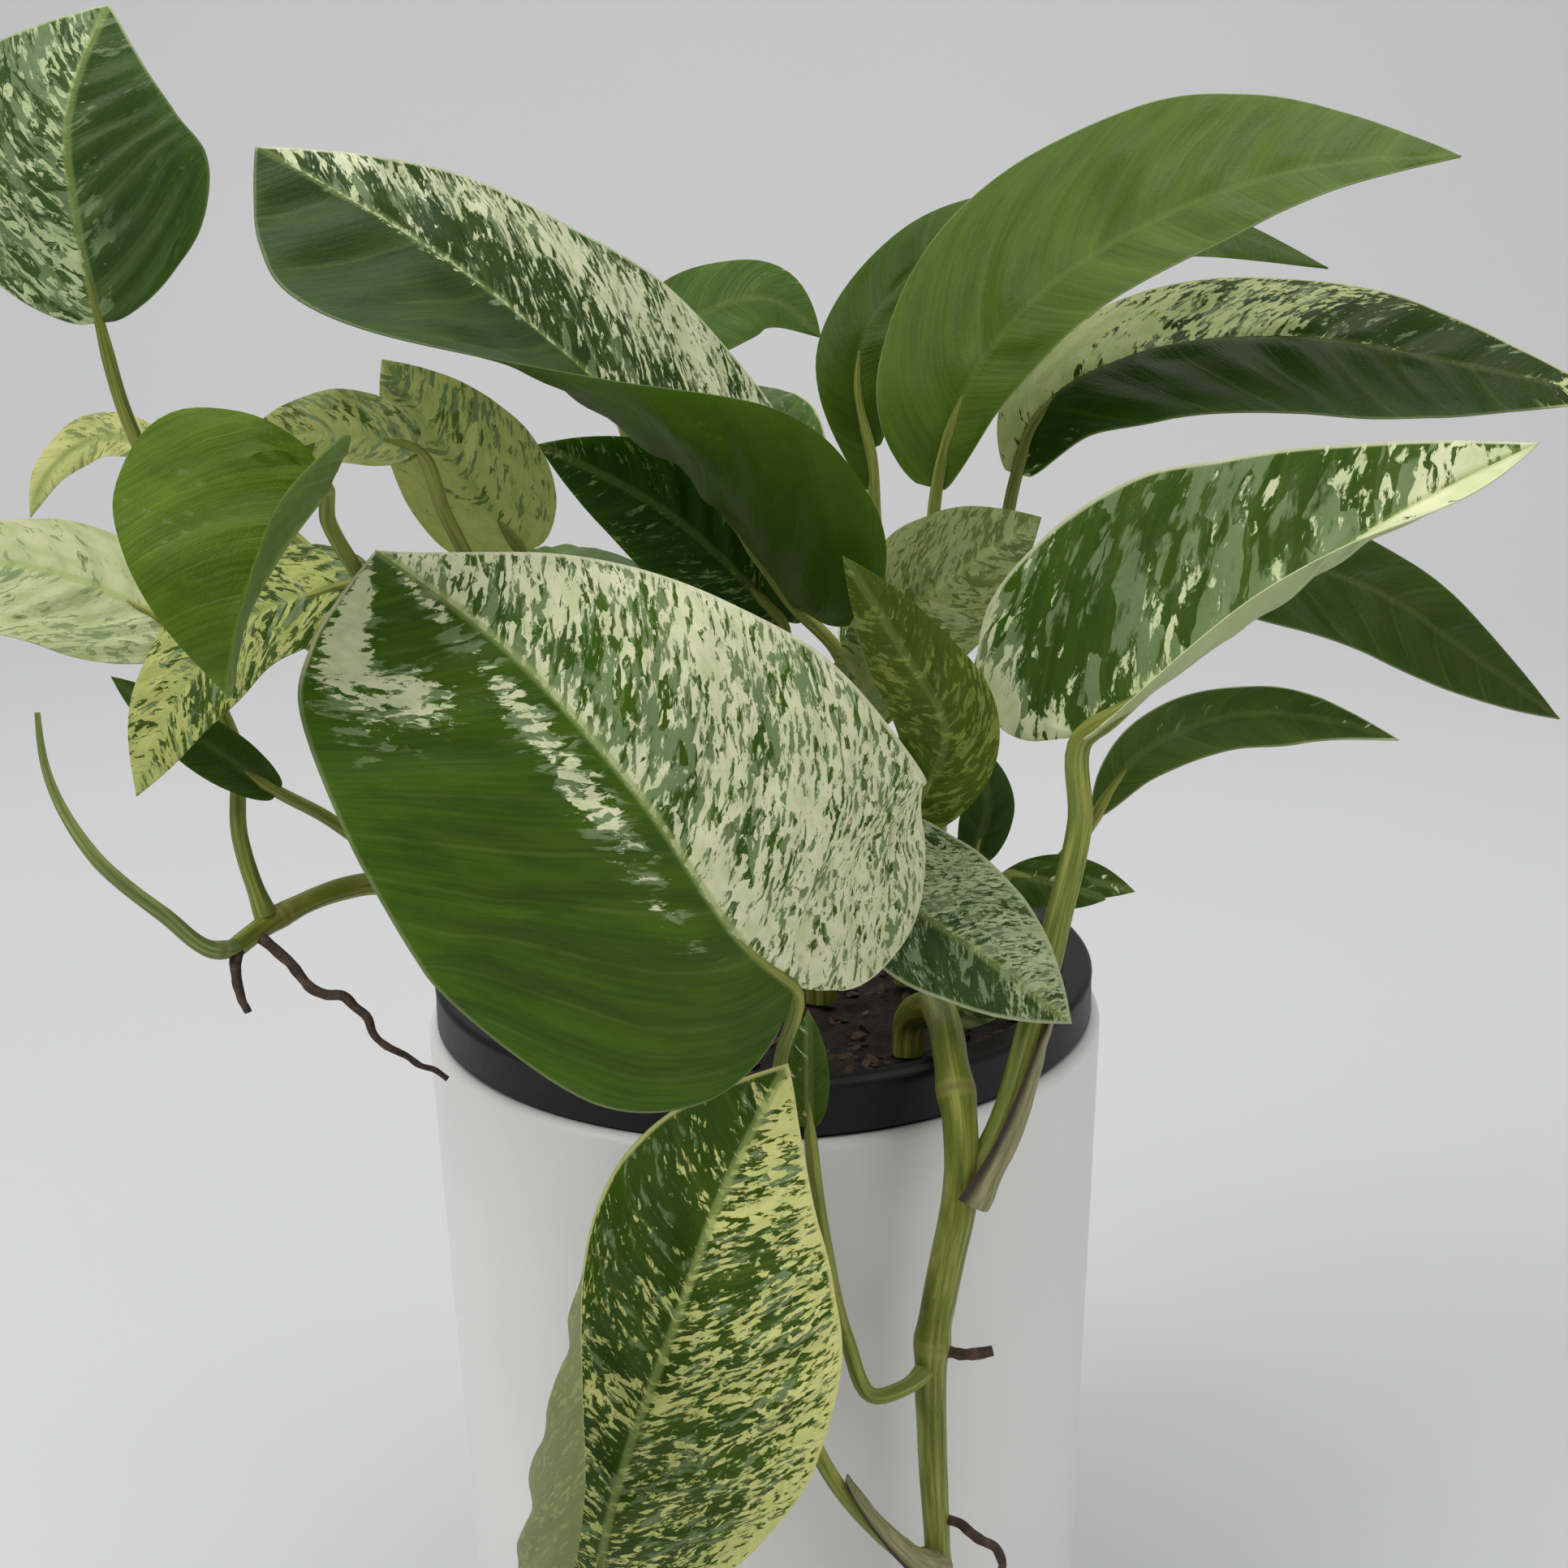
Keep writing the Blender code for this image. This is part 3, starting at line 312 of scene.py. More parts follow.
PALE_YELLOW = (0.72, 0.72, 0.28)
LOOKS = {
    "leaf_front_large": look((0.046, 0.110, 0.003), (-0.6, -0.6, -0.30), (0.74, 0.62, 0.66),
        ((0.84, -0.78, 0.13, 0.17, 1.9), (0.72, -0.52, 0.05, 0.16, 1.2), (0.62, -0.16, 0.14, 0.10, 1.2),
        (0.86, -0.14, 0.10, 0.10, 1.0), (0.72, 0.22, 0.16, 0.18, -0.45), (0.50, 0.14, 0.2, 0.08, 0.2)), milk=0.58,
        edge=0.8, seed=3.0),
    "leaf_front_low": look((0.042, 0.090, 0.002), (0.46, 0.36, 0.15), (0.48, 0.42, 0.58),
        ((0.3, 0.95, 0.4, 0.18, 0.35),), milk=0.24, under=(0.22, 0.25, 0.10), edge=0.9, pale=(0.80, 0.80, 0.30),
        seed=11.0),
    "leaf_left_top": look((0.048, 0.100, 0.022), (0.50, 0.40, 0.30), (0.05, -0.35, 0.05),
        ((0.55, 0.12, 0.4, 0.12, 0.3),), milk=0.60, edge=0.5, pale=(0.66, 0.74, 0.42), seed=17.0),
    "leaf_left_long": look((0.034, 0.072, 0.012), (-0.6, -0.6, -0.45), (0.30, 0.26, 0.22),
        ((0.75, -0.04, 0.22, 0.05, 0.9), (0.55, 0.78, 0.55, 0.24, 0.42), (0.25, 0.5, 0.2, 0.4, 0.2)), milk=0.38,
        under=(0.052, 0.092, 0.002), edge=0.6, rib=0.6, pale=(0.84, 0.86, 0.56), seed=23.0),
    "leaf_left_heart": look((0.088, 0.165, 0.006), milk=-0.5, under=(0.15, 0.22, 0.05), rib=0.7),
    "leaf_left_arch": look((0.26, 0.31, 0.04), 0.8, 0.8, milk=0.8, pale=PALE_YELLOW, seed=5.0),
    "leaf_left_cream": look((0.15, 0.20, 0.05), (0.80, 0.70, 0.75), 0.85, milk=0.8, under=(0.46, 0.50, 0.30),
        pale=(0.56, 0.58, 0.32), fleck=1.5, seed=29.0),
    # This leaf's cream is a real pale yellow, darkened here as painted shade for the shade among the inner leaves.
    "leaf_left_marbled": look((0.042, 0.085, 0.003), (0.30, 0.45, 0.6), (0.45, 0.6, 0.7), milk=0.3, rib=0.5,
        pale=(0.52, 0.54, 0.17), seed=31.0),
    "leaf_left_narrow": look((0.036, 0.075, 0.004), milk=-0.3, rib=0.3),
    "leaf_left_yellow": look((0.09, 0.14, 0.01), (1.05, 0.85, 0.55), (0.95, 0.75, 0.4), milk=0.7, rib=0.5,
        pale=(0.62, 0.64, 0.22), seed=37.0),
    "leaf_left_pale": look((0.10, 0.14, 0.02), (0.6, 0.6, 0.7), (0.6, 0.6, 0.7), milk=0.6, rib=0.5,
        pale=(0.50, 0.52, 0.18), seed=41.0),
    "leaf_behind_long": look((0.026, 0.060, 0.004), (0.1, 0.2, 0.1), (0.0, 0.05, 0.1), milk=0.1, rib=0.5,
        pale=(0.34, 0.38, 0.14), seed=43.0),
    "leaf_behind_tip": look((0.085, 0.16, 0.03), -0.2, -0.5, milk=0.2, rib=0.3, seed=47.0),
    "leaf_right_olive": look((0.044, 0.085, 0.001), milk=-0.5, rib=0.12),
    "leaf_right_large": look((0.078, 0.140, 0.012), milk=-0.3, edge=0.3, rib=0.2),
    # This leaf's very dark green is painted shade: darker than the leaf's own green, for the deep shadow over the side
    # that faces the camera.
    "leaf_right_marbled": look((0.020, 0.042, 0.000), (0.95, 0.40, 0.15), (0.85, -0.55, 0.25),
        ((0.35, -0.5, 0.2, 0.5, 0.45), (0.70, -0.4, 0.12, 0.5, -0.5), (0.95, 0.3, 0.1, 0.6, 0.4)), milk=0.30,
        edge=0.5, rib=0.2, pale=(0.60, 0.64, 0.30), seed=53.0),
    "leaf_right_folded": look((0.046, 0.100, 0.008), (0.58, 0.28, 0.16), (0.9, 0.95, 0.95),
        ((0.22, -0.85, 0.16, 0.25, 0.5), (0.2, -0.3, 0.1, 0.2, 0.35), (0.5, -0.7, 0.12, 0.3, -0.3),
        (0.9, -0.3, 0.12, 0.5, 0.5)), milk=0.62, under=(0.36, 0.42, 0.20), edge=0.8, rib=0.6, pale=(0.82, 0.85, 0.52),
        fleck=2.2, seed=59.0),
    "leaf_right_dark": look((0.026, 0.050, 0.001), milk=-0.4, edge=0.25, rib=0.15),
    "leaf_right_low": look((0.068, 0.118, 0.018), (-0.3, -0.1, 0.1), (-0.4, -0.3, 0.0), milk=0.2, edge=0.4, rib=0.3,
        seed=61.0),
    # This inner leaf's cream is darkened to about a quarter of the usual cream: painted shade.
    "leaf_behind_cream": look((0.085, 0.115, 0.020), (0.8, 0.6, 0.3), (0.8, 0.6, 0.4), milk=0.2, rib=0.4,
        pale=(0.24, 0.27, 0.10), seed=67.0),
    # This inner leaf's cream is darkened to about a quarter of the usual cream: painted shade.
    "leaf_middle_twisted": look((0.070, 0.115, 0.004), (0.25, 0.35, 0.4), (0.45, 0.35, 0.1), milk=-0.2, rib=0.4,
        pale=(0.24, 0.28, 0.05), seed=71.0),
    "leaf_middle_pale": look((0.09, 0.13, 0.02), 0.6, 0.7, milk=0.6, rib=0.5, pale=(0.34, 0.37, 0.12), seed=73.0),
    "leaf_right_speckled": look((0.034, 0.068, 0.014), (0.45, 0.5, 0.6), (0.35, 0.15, 0.45), milk=0.50, edge=0.7,
        fleck=0.55, rib=0.6, pale=(0.46, 0.52, 0.30), seed=79.0),
    "leaf_middle_dark": look((0.028, 0.058, 0.005), milk=-0.2, rib=0.3, seed=83.0),
    "leaf_right_small": look((0.042, 0.080, 0.006), 0.0, 0.1, milk=0.2, rib=0.5, seed=89.0),
    "leaf_right_tiny": look((0.038, 0.076, 0.005), 0.1, milk=0.2, rib=0.5, seed=97.0),
    "leaf_front_small": look((0.052, 0.105, 0.006), (0.0, 0.2, 0.2), milk=0.1, rib=0.6, seed=101.0),
    "leaf_soil_pale": look((0.11, 0.16, 0.03), 0.6, 0.7, milk=0.6, pale=(0.44, 0.48, 0.20), seed=103.0),
    "leaf_back_middle": look((0.046, 0.105, 0.006), (0.6, 0.55, 0.4), (-0.2, -0.1, 0.3), milk=0.35, edge=0.6, rib=0.7,
        seed=107.0),
    "leaf_back_left": look((0.060, 0.125, 0.008), milk=-0.2, edge=0.3, rib=0.3, seed=109.0),
    "leaf_back_right": look((0.046, 0.105, 0.006), (0.2, 0.3, 0.5), (0.6, 0.65, 0.6), milk=0.35, edge=0.6, rib=0.7,
        seed=113.0),
    "leaf_back_low": look((0.050, 0.108, 0.006), (-0.3, -0.3, 0.0), (0.1, 0.1, 0.2), milk=0.2, edge=0.3, rib=0.5,
        seed=127.0),
}

# Where along each stem its joints are, as shares of its length.
JOINTS = {
    "stem_trailing": (0.30, 0.55, 0.80, 0.95), "stem_left_runner": (0.35, 0.62, 0.90),
    "stem_crown_left": (0.25, 0.6, 0.88), "stem_crown_middle": (0.3, 0.6, 0.85),
    "stem_crown_right": (0.3, 0.6, 0.85), "stem_crown_back": (0.3, 0.6, 0.85), "leaf_left_rolled": (0.06,),
}

# The stem that each of these grows from.
HOSTS = {"leaf_left_rolled": "stem_left_runner", "root_left": "stem_left_runner", "root_left_stub": "stem_left_runner",
         "root_front_upper": "stem_trailing", "root_front_lower": "stem_trailing"}

# Dry sheaths: the leaf whose petiole each hugs, the share of it where the sheath ends, how many degrees round it the
# sheath reaches at its foot, and the sheath's radius against the petiole's.
SHEATHS = {
    "sheath_right_folded": ("leaf_right_folded", 0.42, 210.0, 1.35),
    "sheath_front_large": ("leaf_front_large", 0.22, 200.0, 1.7),
    "sheath_front_low": ("leaf_front_low", 0.40, 200.0, 1.5),
    "sheath_right_large": ("leaf_right_large", 0.25, 180.0, 1.5),
}
LATTICE = 64         # cells of random values, before the lumps repeat
LEAST_CURL = 1e-3    # radians: a half leaf that is flatter is given this curl, so that width / curl is a number
SHARP_MITRE = 0.35   # the least that a mitre on a folded midrib is divided by
WELD = 1e-7          # metres: points nearer than this are merged

# The camera: its lens and sensor in millimetres, how far it looks down and is rolled in degrees, and where it stands
# in metres from the middle of the nursery pot's top.
LENS, SENSOR, LOOK_DOWN, ROLL = 48.45, 36.0, 16.5, -1.0
CAMERA_SPOT = (0.0041, -0.346, 0.1334)

# Each light: where it is and what it points at, in metres, its width and its power in watts.
LIGHTS = {
    "window": ((-0.9, -0.55, 1.25), (0.0, 0.0, 0.17), 0.9, 10.0),
    "ceiling": ((0.25, 0.15, 1.7), (0.0, 0.0, 0.15), 1.2, 9.0),
    "fill": ((1.0, -0.9, 0.6), (0.0, 0.0, 0.18), 1.0, 2.5),
    "wall_wash": ((0.0, 0.35, 1.9), (0.0, 1.5, 0.5), 1.6, 7.0),
}


def metres(points):
    """The plant's millimetres to metres over the table."""
    return (np.asarray(points, float) * SCALE + (0.0, 0.0, LIP_TOP)) / 1000.0


def lumps(x, y, size, seed):
    """Smooth noise from -1 to 1: random values on a square lattice of that size, blended by 3t^2 - 2t^3."""
    table = np.random.default_rng(seed).uniform(-1.0, 1.0, (LATTICE, LATTICE))
    gx, gy = x / size, y / size
    ix, iy = np.floor(gx).astype(int), np.floor(gy).astype(int)
    tx, ty = gx - ix, gy - iy
    tx, ty = tx * tx * (3 - 2 * tx), ty * ty * (3 - 2 * ty)
    (a, b), (c, d) = [[table[(ix + i) % LATTICE, (iy + j) % LATTICE] for i in (0, 1)] for j in (0, 1)]
    return (a * (1 - tx) + b * tx) * (1 - ty) + (c * (1 - tx) + d * tx) * ty


def quads(rows, columns, wrap=False):
    """The faces of a grid of points in row order. With wrap, the last column joins the first."""
    i, j = np.meshgrid(np.arange(rows - 1), np.arange(columns if wrap else columns - 1), indexing="ij")
    a, b = (i * columns + j).ravel(), (i * columns + (j + 1) % columns).ravel()
    return np.stack([a, b, b + columns, a + columns], 1)


def piece(name, points, faces, slot, skin, attributes=(), sharp=50.0, replaced=()):
    """A finished piece in metres: welded, smooth but for edges sharper than that angle, riding on the root. Attributes
    are (name, values) with one number or three for each point."""
    mesh = bpy.data.meshes.new(name)
    mesh.from_pydata([tuple(p) for p in np.reshape(points, (-1, 3))], [], [tuple(f) for f in faces])
    for label, values in attributes:
        values = np.asarray(values, np.float32)
        kind, key = ("FLOAT_VECTOR", "vector") if values.ndim == 2 else ("FLOAT", "value")
        mesh.attributes.new(label, kind, "POINT").data.foreach_set(key, values.ravel())
    work = bmesh.new()
    work.from_mesh(mesh)
    bmesh.ops.remove_doubles(work, verts=work.verts, dist=WELD)
    bmesh.ops.recalc_face_normals(work, faces=work.faces)
    work.to_mesh(mesh)
    work.free()
    mesh.polygons.foreach_set("use_smooth", np.ones(len(mesh.polygons), bool))
    mesh.set_sharp_from_angle(angle=math.radians(sharp))
    mesh.materials.append(skin)
    made = bpy.data.objects.new(name, mesh)
    bpy.context.scene.collection.objects.link(made)
    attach(made, "root")
    if replaced:
        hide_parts(*replaced)


# ---- Surfaces


def lathe(profile, steps):
    """A body of revolution: point (r cos a, r sin a, z) for each (r, z) of the profile and each angle a."""
    radius, height = np.array(profile, float).T
    angle = around(steps)
    points = np.stack([np.outer(radius, np.cos(angle)), np.outer(radius, np.sin(angle)),
                       np.repeat(height[:, None], steps, 1)], -1)
    return points / 1000.0, quads(len(profile), steps, True)


def arc(centre, radius, first, last, steps):
    """Points of a profile on a circle, angles in degrees."""
    angles = np.radians(np.linspace(first, last, steps + 1))
    return [(centre[0] + radius * math.cos(a), centre[1] + radius * math.sin(a)) for a in angles]


def sweep(route, radii, sides):
    """A tube with closed ends: a circle of the given radius carried along the route in a frame that doesn't twist.
    Returns points, faces, and for each point its distance along, the cosine of its angle, and 0."""
    route = np.asarray(route, float)
    ahead = unit(np.gradient(route, axis=0))
    side = [unit(np.cross(ahead[0], (0.3, 0.9, 0.2)))]
    for direction in ahead[1:]:
        side.append(unit(side[-1] - direction * (side[-1] @ direction)))
    side = np.array(side)
    other = np.cross(ahead, side)
    angle = around(sides)
    ring = np.cos(angle)[None, :, None] * side[:, None] + np.sin(angle)[None, :, None] * other[:, None]
    radii = np.asarray(radii, float)
    if radii.ndim == 1:
        radii = np.repeat(radii[:, None], sides, 1)
    points = route[:, None] + ring * radii[..., None]
    points = np.concatenate([np.repeat(route[:1, None], sides, 1), points, np.repeat(route[-1:, None], sides, 1)])
    along = np.concatenate([[0.0], np.cumsum(chords(route))])
    along = np.concatenate([along[:1], along, along[-1:]])
    return points.reshape(-1, 3), quads(len(points), sides, True), pairs(along, np.cos(angle))


def pairs(rows, columns):
    """(row's value, column's value, 0) for each point of a grid, in row order."""
    first, second = np.meshgrid(rows, columns, indexing="ij")
    return np.stack([first, second, np.zeros_like(first)], -1).reshape(-1, 3)


def shell(upper, lower, closed=False):
    """A thin body from two grids of points, with rims between them down both sides and along the first row. The last
    row has one too if closed is set. Without it, that row has to fold onto itself, as at a leaf's tip."""
    rows, columns = upper.shape[:2]
    total, last = rows * columns, (rows - 1) * columns
    top = quads(rows, columns)
    down, over = np.arange(rows - 1) * columns, np.arange(columns - 1)
    rims = [(down, down + columns), (down + 2 * columns - 1, down + columns - 1), (over + 1, over)]
    if closed:
        rims.append((over + last, over + 1 + last))
    walls = [np.stack([a, b, b + total, a + total], 1) for a, b in rims]
    points = np.concatenate([upper.reshape(-1, 3), lower.reshape(-1, 3)])
    return points, np.concatenate([top, top[:, ::-1] + total, *walls])


def blade(spec, style, rows, half, thick, groove, quilt):
    """A leaf blade as a thin closed shell about the surface that leaf_place gives: thickest on the midrib, which is a
    groove above and a rib below, and swelling between the lateral veins by quilt * sin^2. Its rows fan out from the
    midrib to the outline, and its columns run from the left margin to the right, closer together near the midrib. A
    vein's lane is where it leaves the midrib, and run is the distance along the vein from there. Returns points, faces
    and the attributes that the leaf's skin reads."""
    length = length_of(spec)
    first_row, crowding, slant = 0.06, 1.25, 0.55
    t = np.linspace(0.0, 1.0, rows)
    fan = first_row + (1.0 - first_row) * (t + 0.06 * np.sin(2 * np.pi * t))
    left, right = (through(shape, fan) * (length, wide) for shape, wide in zip(spec["shape"], spec["wide"]))
    root = 0.5 * (left[:, 0] + right[:, 0]) - 0.22 * (left[:, 1] + right[:, 1])
    root = np.maximum.accumulate(np.clip(root, 0.0, length))
    root[-1] = length
    across = np.linspace(-1.0, 1.0, 2 * half + 1)
    across = np.sign(across) * np.abs(across) ** crowding
    reach = np.abs(across)[None]
    end = np.where(across < 0, left[:, :1], right[:, :1])
    wide = np.where(across < 0, left[:, 1:], right[:, 1:])
    along, out = root[:, None] + (end - root[:, None]) * reach, across * wide
    spot, normal = leaf_place(spec, along, out)
    vein = np.hypot(end - root[:, None], wide)
    far = np.abs(out) / max(spec["wide"])
    lane = along - np.abs(out) * (slant + slant * far)
    run = out * np.sqrt(1.0 + (slant + 2 * slant * far) ** 2)
    taper = np.clip(1.0 - along / length, 0.0, 1.0)
    gap = max(4.0, length / 9.0)
    body = np.clip(reach * 6.0, 0, 1) * np.clip((1.0 - reach) * 4.0, 0, 1)
    ample = np.minimum(1.0, wide / 14.0)
    swell = quilt * body * (np.sin(np.pi * lane / gap) ** 2 - 0.5) * ample
    slow = lumps(lane + 40.0 * style["seed"], run * 0.45 + 90.0, 8.0, 5)
    slow = slow + 0.5 * lumps(lane + 9.0, run * 0.4 + 60.0, 3.6, 6)
    swell = swell + 0.9 * quilt * slow * body * ample
    line = np.exp(-(out / (0.35 + 0.75 * taper)) ** 2)
    spot = spot + normal * swell[..., None]
    depth = thick / 2 * (0.35 + 0.65 * (1.0 - reach ** 4))
    upper = spot + normal * (depth - groove * line * taper)[..., None]
    lower = spot - normal * (depth + 1.6 * groove * line * taper)[..., None]
    cover = blend(style["left"], fan)[:, None] * (across < 0) + blend(style["right"], fan)[:, None] * (across >= 0)
    for fan_at, reach_at, fan_size, reach_size, change in style["patches"]:
        near = ((fan[:, None] - fan_at) / fan_size) ** 2 + ((across - reach_at) / reach_size) ** 2
        cover = cover + change * np.exp(-near)
    grain = np.stack([run / style["fleck"], 0.78 * lane / style["fleck"], np.full_like(out, style["seed"])], -1)
    facts = (("cover", cover), ("rib", out), ("brim", (1.0 - reach) * vein), ("grain", grain), ("vein", lane / gap))
    attributes = [(label, np.concatenate([fact.reshape(-1, *fact.shape[2:])] * 2)) for label, fact in facts]
    attributes.append(("under", np.repeat((0.0, 1.0), out.size)))
    return *shell(upper, lower), attributes


# ---- Shader maths


class Socket:
    """A value in a material's node tree. Arithmetic on it adds Math nodes."""

    def __init__(self, skin, link):
        self.skin, self.link = skin, link

    def math(self, operation, *others):
        return self.skin.node("ShaderNodeMath", {"operation": operation}, dict(enumerate((self, *others))))

    def __add__(self, other): return self.math("ADD", other)
    def __radd__(self, other): return self.math("ADD", other)
    def __sub__(self, other): return self.math("SUBTRACT", other)
    def __rsub__(self, other): return self.skin.node("ShaderNodeMath", {"operation": "SUBTRACT"}, {0: other, 1: self})
    def __mul__(self, other): return self.math("MULTIPLY", other)
    def __rmul__(self, other): return self.math("MULTIPLY", other)
    def __abs__(self): return self.math("ABSOLUTE")


class Skin:
    """A material under construction, with one method for any node."""

    def __init__(self, name, **constants):
        self.material = bpy.data.materials.new(name)
        self.material.use_nodes = True
        self.tree = self.material.node_tree
        self.shader = self.tree.nodes["Principled BSDF"]
        for socket, value in constants.items():
            self.shader.inputs[socket.replace("_", " ")].default_value = value

    def node(self, kind, settings=None, values=None, out=0):
        """Any node: its settings are set first, then its sockets get values or links."""
        made = self.tree.nodes.new(kind)
        for key, value in (settings or {}).items():
            setattr(made, key, value)
        for key, value in (values or {}).items():
            if isinstance(value, Socket):
                self.tree.links.new(value.link, made.inputs[key])
            else:
                made.inputs[key].default_value = value
        return Socket(self, made.outputs[out])

    def attribute(self, name, out="Fac"):
        return self.node("ShaderNodeAttribute", {"attribute_name": name}, out=out)

    def place(self):
        return self.node("ShaderNodeTexCoord", out="Object")

    def stretch(self, vector, scale):
        return self.node("ShaderNodeMapping", {}, {"Vector": vector, "Scale": scale})

    def noise(self, vector, scale, detail=3.0, roughness=0.55, out="Fac"):
        return self.node("ShaderNodeTexNoise", {}, {"Vector": vector, "Scale": scale, "Detail": detail,
                                                   "Roughness": roughness}, out)

    def step(self, value, low, high):
        return self.node("ShaderNodeMapRange", {"interpolation_type": "SMOOTHSTEP"},
                         {"Value": value, "From Min": low, "From Max": high})

    def mix(self, share, first, second):
        """A colour mix: first where the share is 0, second where it is 1."""
        first, second = (c if isinstance(c, Socket) else (*c, 1.0) for c in (first, second))
        return self.node("ShaderNodeMix", {"data_type": "RGBA"}, {0: share, 6: first, 7: second}, 2)

    def bump(self, height, distance, strength=1.0):
        self.into("Normal", self.node("ShaderNodeBump", {}, {"Height": height, "Distance": distance,
                                                             "Strength": strength}))

    def into(self, socket, value):
        self.tree.links.new(value.link, self.shader.inputs[socket])

    def coat(self, colour, roughness):
        self.into("Base Color", colour)
        self.into("Roughness", roughness)


def tone_of(colour, share=1.0):
    """A colour as plain numbers, each times the share."""
    return tuple(share * c for c in colour)


def leaf_skin(look_of, style, name):
    """A waxy leaf. Flecks of cream and of milky green, long in the direction of the veins, over its own green; the
    share of each comes from the cover attribute. Pale midrib, margin and underside."""
    skin = Skin(name, Subsurface_Weight=0.12, Subsurface_Scale=0.003, Specular_IOR_Level=0.18)
    skin.shader.inputs["Subsurface Radius"].default_value = (0.5, 1.0, 0.2)
    grain, cover = skin.attribute("grain", "Vector"), skin.attribute("cover")
    wander = skin.noise(skin.stretch(grain, (0.16, 0.35, 1.0)), 1.0, 3.0, out="Color")
    bent = skin.node("ShaderNodeVectorMath", {"operation": "MULTIPLY_ADD"},
                     {0: wander, 1: (3.6, 1.6, 0.0), 2: grain}, "Vector")
    long = skin.stretch(bent, (0.40, 1.30, 1.0))
    cell = skin.node("ShaderNodeSeparateColor", {}, {"Color": skin.node(
        "ShaderNodeTexVoronoi", {}, {"Vector": long, "Scale": 1.15, "Randomness": 1.0}, "Color")}, "Red")
    fine = skin.noise(long, 0.9, 5.0, 0.72)
    broad = skin.noise(skin.stretch(grain, (0.03, 0.10, 1.0)), 1.0, 2.0)
    value = fine + 0.30 * (cell - 0.5) + 0.50 * (broad - 0.5)
    cream = skin.step(value + 0.5 * cover, 0.730, 0.790)
    other = skin.stretch(bent, (0.12, 0.42, 2.3))
    cell_two = skin.node("ShaderNodeSeparateColor", {}, {"Color": skin.node(
        "ShaderNodeTexVoronoi", {}, {"Vector": other, "Scale": 1.6}, "Color")}, "Green")
    milk = skin.step(skin.noise(other, 1.3, 4.0, 0.65) + 0.30 * (cell_two - 0.5) + 0.22 * cover,
                     0.74 - 0.32 * style["milk"], 0.84 - 0.32 * style["milk"])
    shade = skin.noise(skin.stretch(grain, (0.05, 0.22, 1.0)), 1.0, 3.0)
    green = style["green"]
    ray = skin.noise(skin.stretch(grain, (0.04, 1.6, 1.0)), 1.0, 3.0)
    calm = 0.5 + 0.5 * style["rib"]
    body = skin.mix(skin.step(0.6 * shade + 0.4 * ray, 0.32, 0.68), tone_of(green, 1.0 - 0.30 * calm),
                    (green[0] * (1.0 + 0.35 * calm) + 0.004, green[1] * (1.0 + 0.18 * calm) + 0.003, green[2] * 1.1))
    milky = tuple(0.45 * g + m for g, m in zip(green, tone_of(look_of.milky)))
    milk = milk * (0.05 + 0.80 * skin.step(cover, -0.45, -0.05))
    colour = skin.mix(milk, body, milky)
    pale = style["pale"]
    tint = skin.mix(skin.step(skin.noise(bent, 0.35, 3.0), 0.35, 0.7), pale,
                    (pale[0] * 0.80, pale[1] * 0.86, pale[2] * 0.74))
    colour = skin.mix(cream * 0.96, colour, tint)
    rib = skin.attribute("rib")
    ribbed = 1.0 - skin.step(abs(rib), 0.28, 0.95)
    midrib = tone_of(look_of.midrib)
    colour = skin.mix(ribbed * (0.42 + 0.25 * skin.step(cover, -0.3, 0.6)) * style["rib"], colour, midrib)
    if style["edge"]:
        brim = skin.step(skin.attribute("brim"), style["edge"], 0.35 * style["edge"])
        colour = skin.mix(brim * (0.15 + 0.7 * skin.step(cover, -0.35, 0.1)), colour, tone_of(pale, 0.9))
    lateral = skin.attribute("vein")
    wave = skin.node("ShaderNodeMath", {"operation": "SINE"}, {0: lateral * math.pi})
    veins = skin.step(abs(wave), 0.22, 0.0) * skin.step(shade, 0.3, 0.6) * (0.10 * calm)
    colour = skin.mix(veins, colour, midrib)
    under = skin.attribute("under")
    below = style["under"]
    back = skin.mix(cream * 0.16, skin.mix(skin.step(shade, 0.3, 0.7), below, tone_of(below, 0.85)), pale)
    back = skin.mix(ribbed * 0.5, back, tuple(min(1.0, 1.5 * c + 0.05) for c in below))
    skin.coat(skin.mix(under, colour, back), 0.42 + 0.12 * under + 0.08 * cream + 0.22 * (shade - 0.5))
    skin.bump(0.6 * skin.noise(bent, 2.2, 4.0) + 0.8 * ray - 2.0 * veins + 0.2 * cream, 0.00022, 0.8)
    return skin.material


def stem_skin(name, main, pale, dark, streak=0.35):
    """Green stem: pale and dark streaks along it from the tube attribute, and a scar where the joint attribute is 1."""
    main, pale, dark = tone_of(main), tone_of(pale), tone_of(dark)
    skin = Skin(name, Subsurface_Weight=0.08, Subsurface_Scale=0.002, Specular_IOR_Level=0.25)
    tube = skin.attribute("tube", "Vector")
    lines = skin.noise(skin.stretch(tube, (0.045, 2.6, 0.0)), 1.0, 4.0, 0.6)
    marks = skin.noise(skin.stretch(tube, (0.35, 3.0, 0.0)), 1.0, 3.0)
    colour = skin.mix(skin.step(lines, 0.50 - streak * 0.2, 0.66), main, pale)
    colour = skin.mix(skin.step(lines, 0.44, 0.30) * 0.8, colour, dark)
    colour = skin.mix(skin.step(marks, 0.62, 0.72) * 0.35, colour, dark)
    joint = skin.attribute("joint")
    colour = skin.mix(skin.step(joint, 0.55, 0.95) * 0.8, colour, (0.13, 0.085, 0.03))
    skin.coat(skin.mix(skin.step(joint, 0.15, 0.5) * 0.35, colour, pale), 0.42 + 0.2 * (marks - 0.5))
    skin.bump(lines + 0.4 * marks, 0.00025, 0.8)
    return skin.material


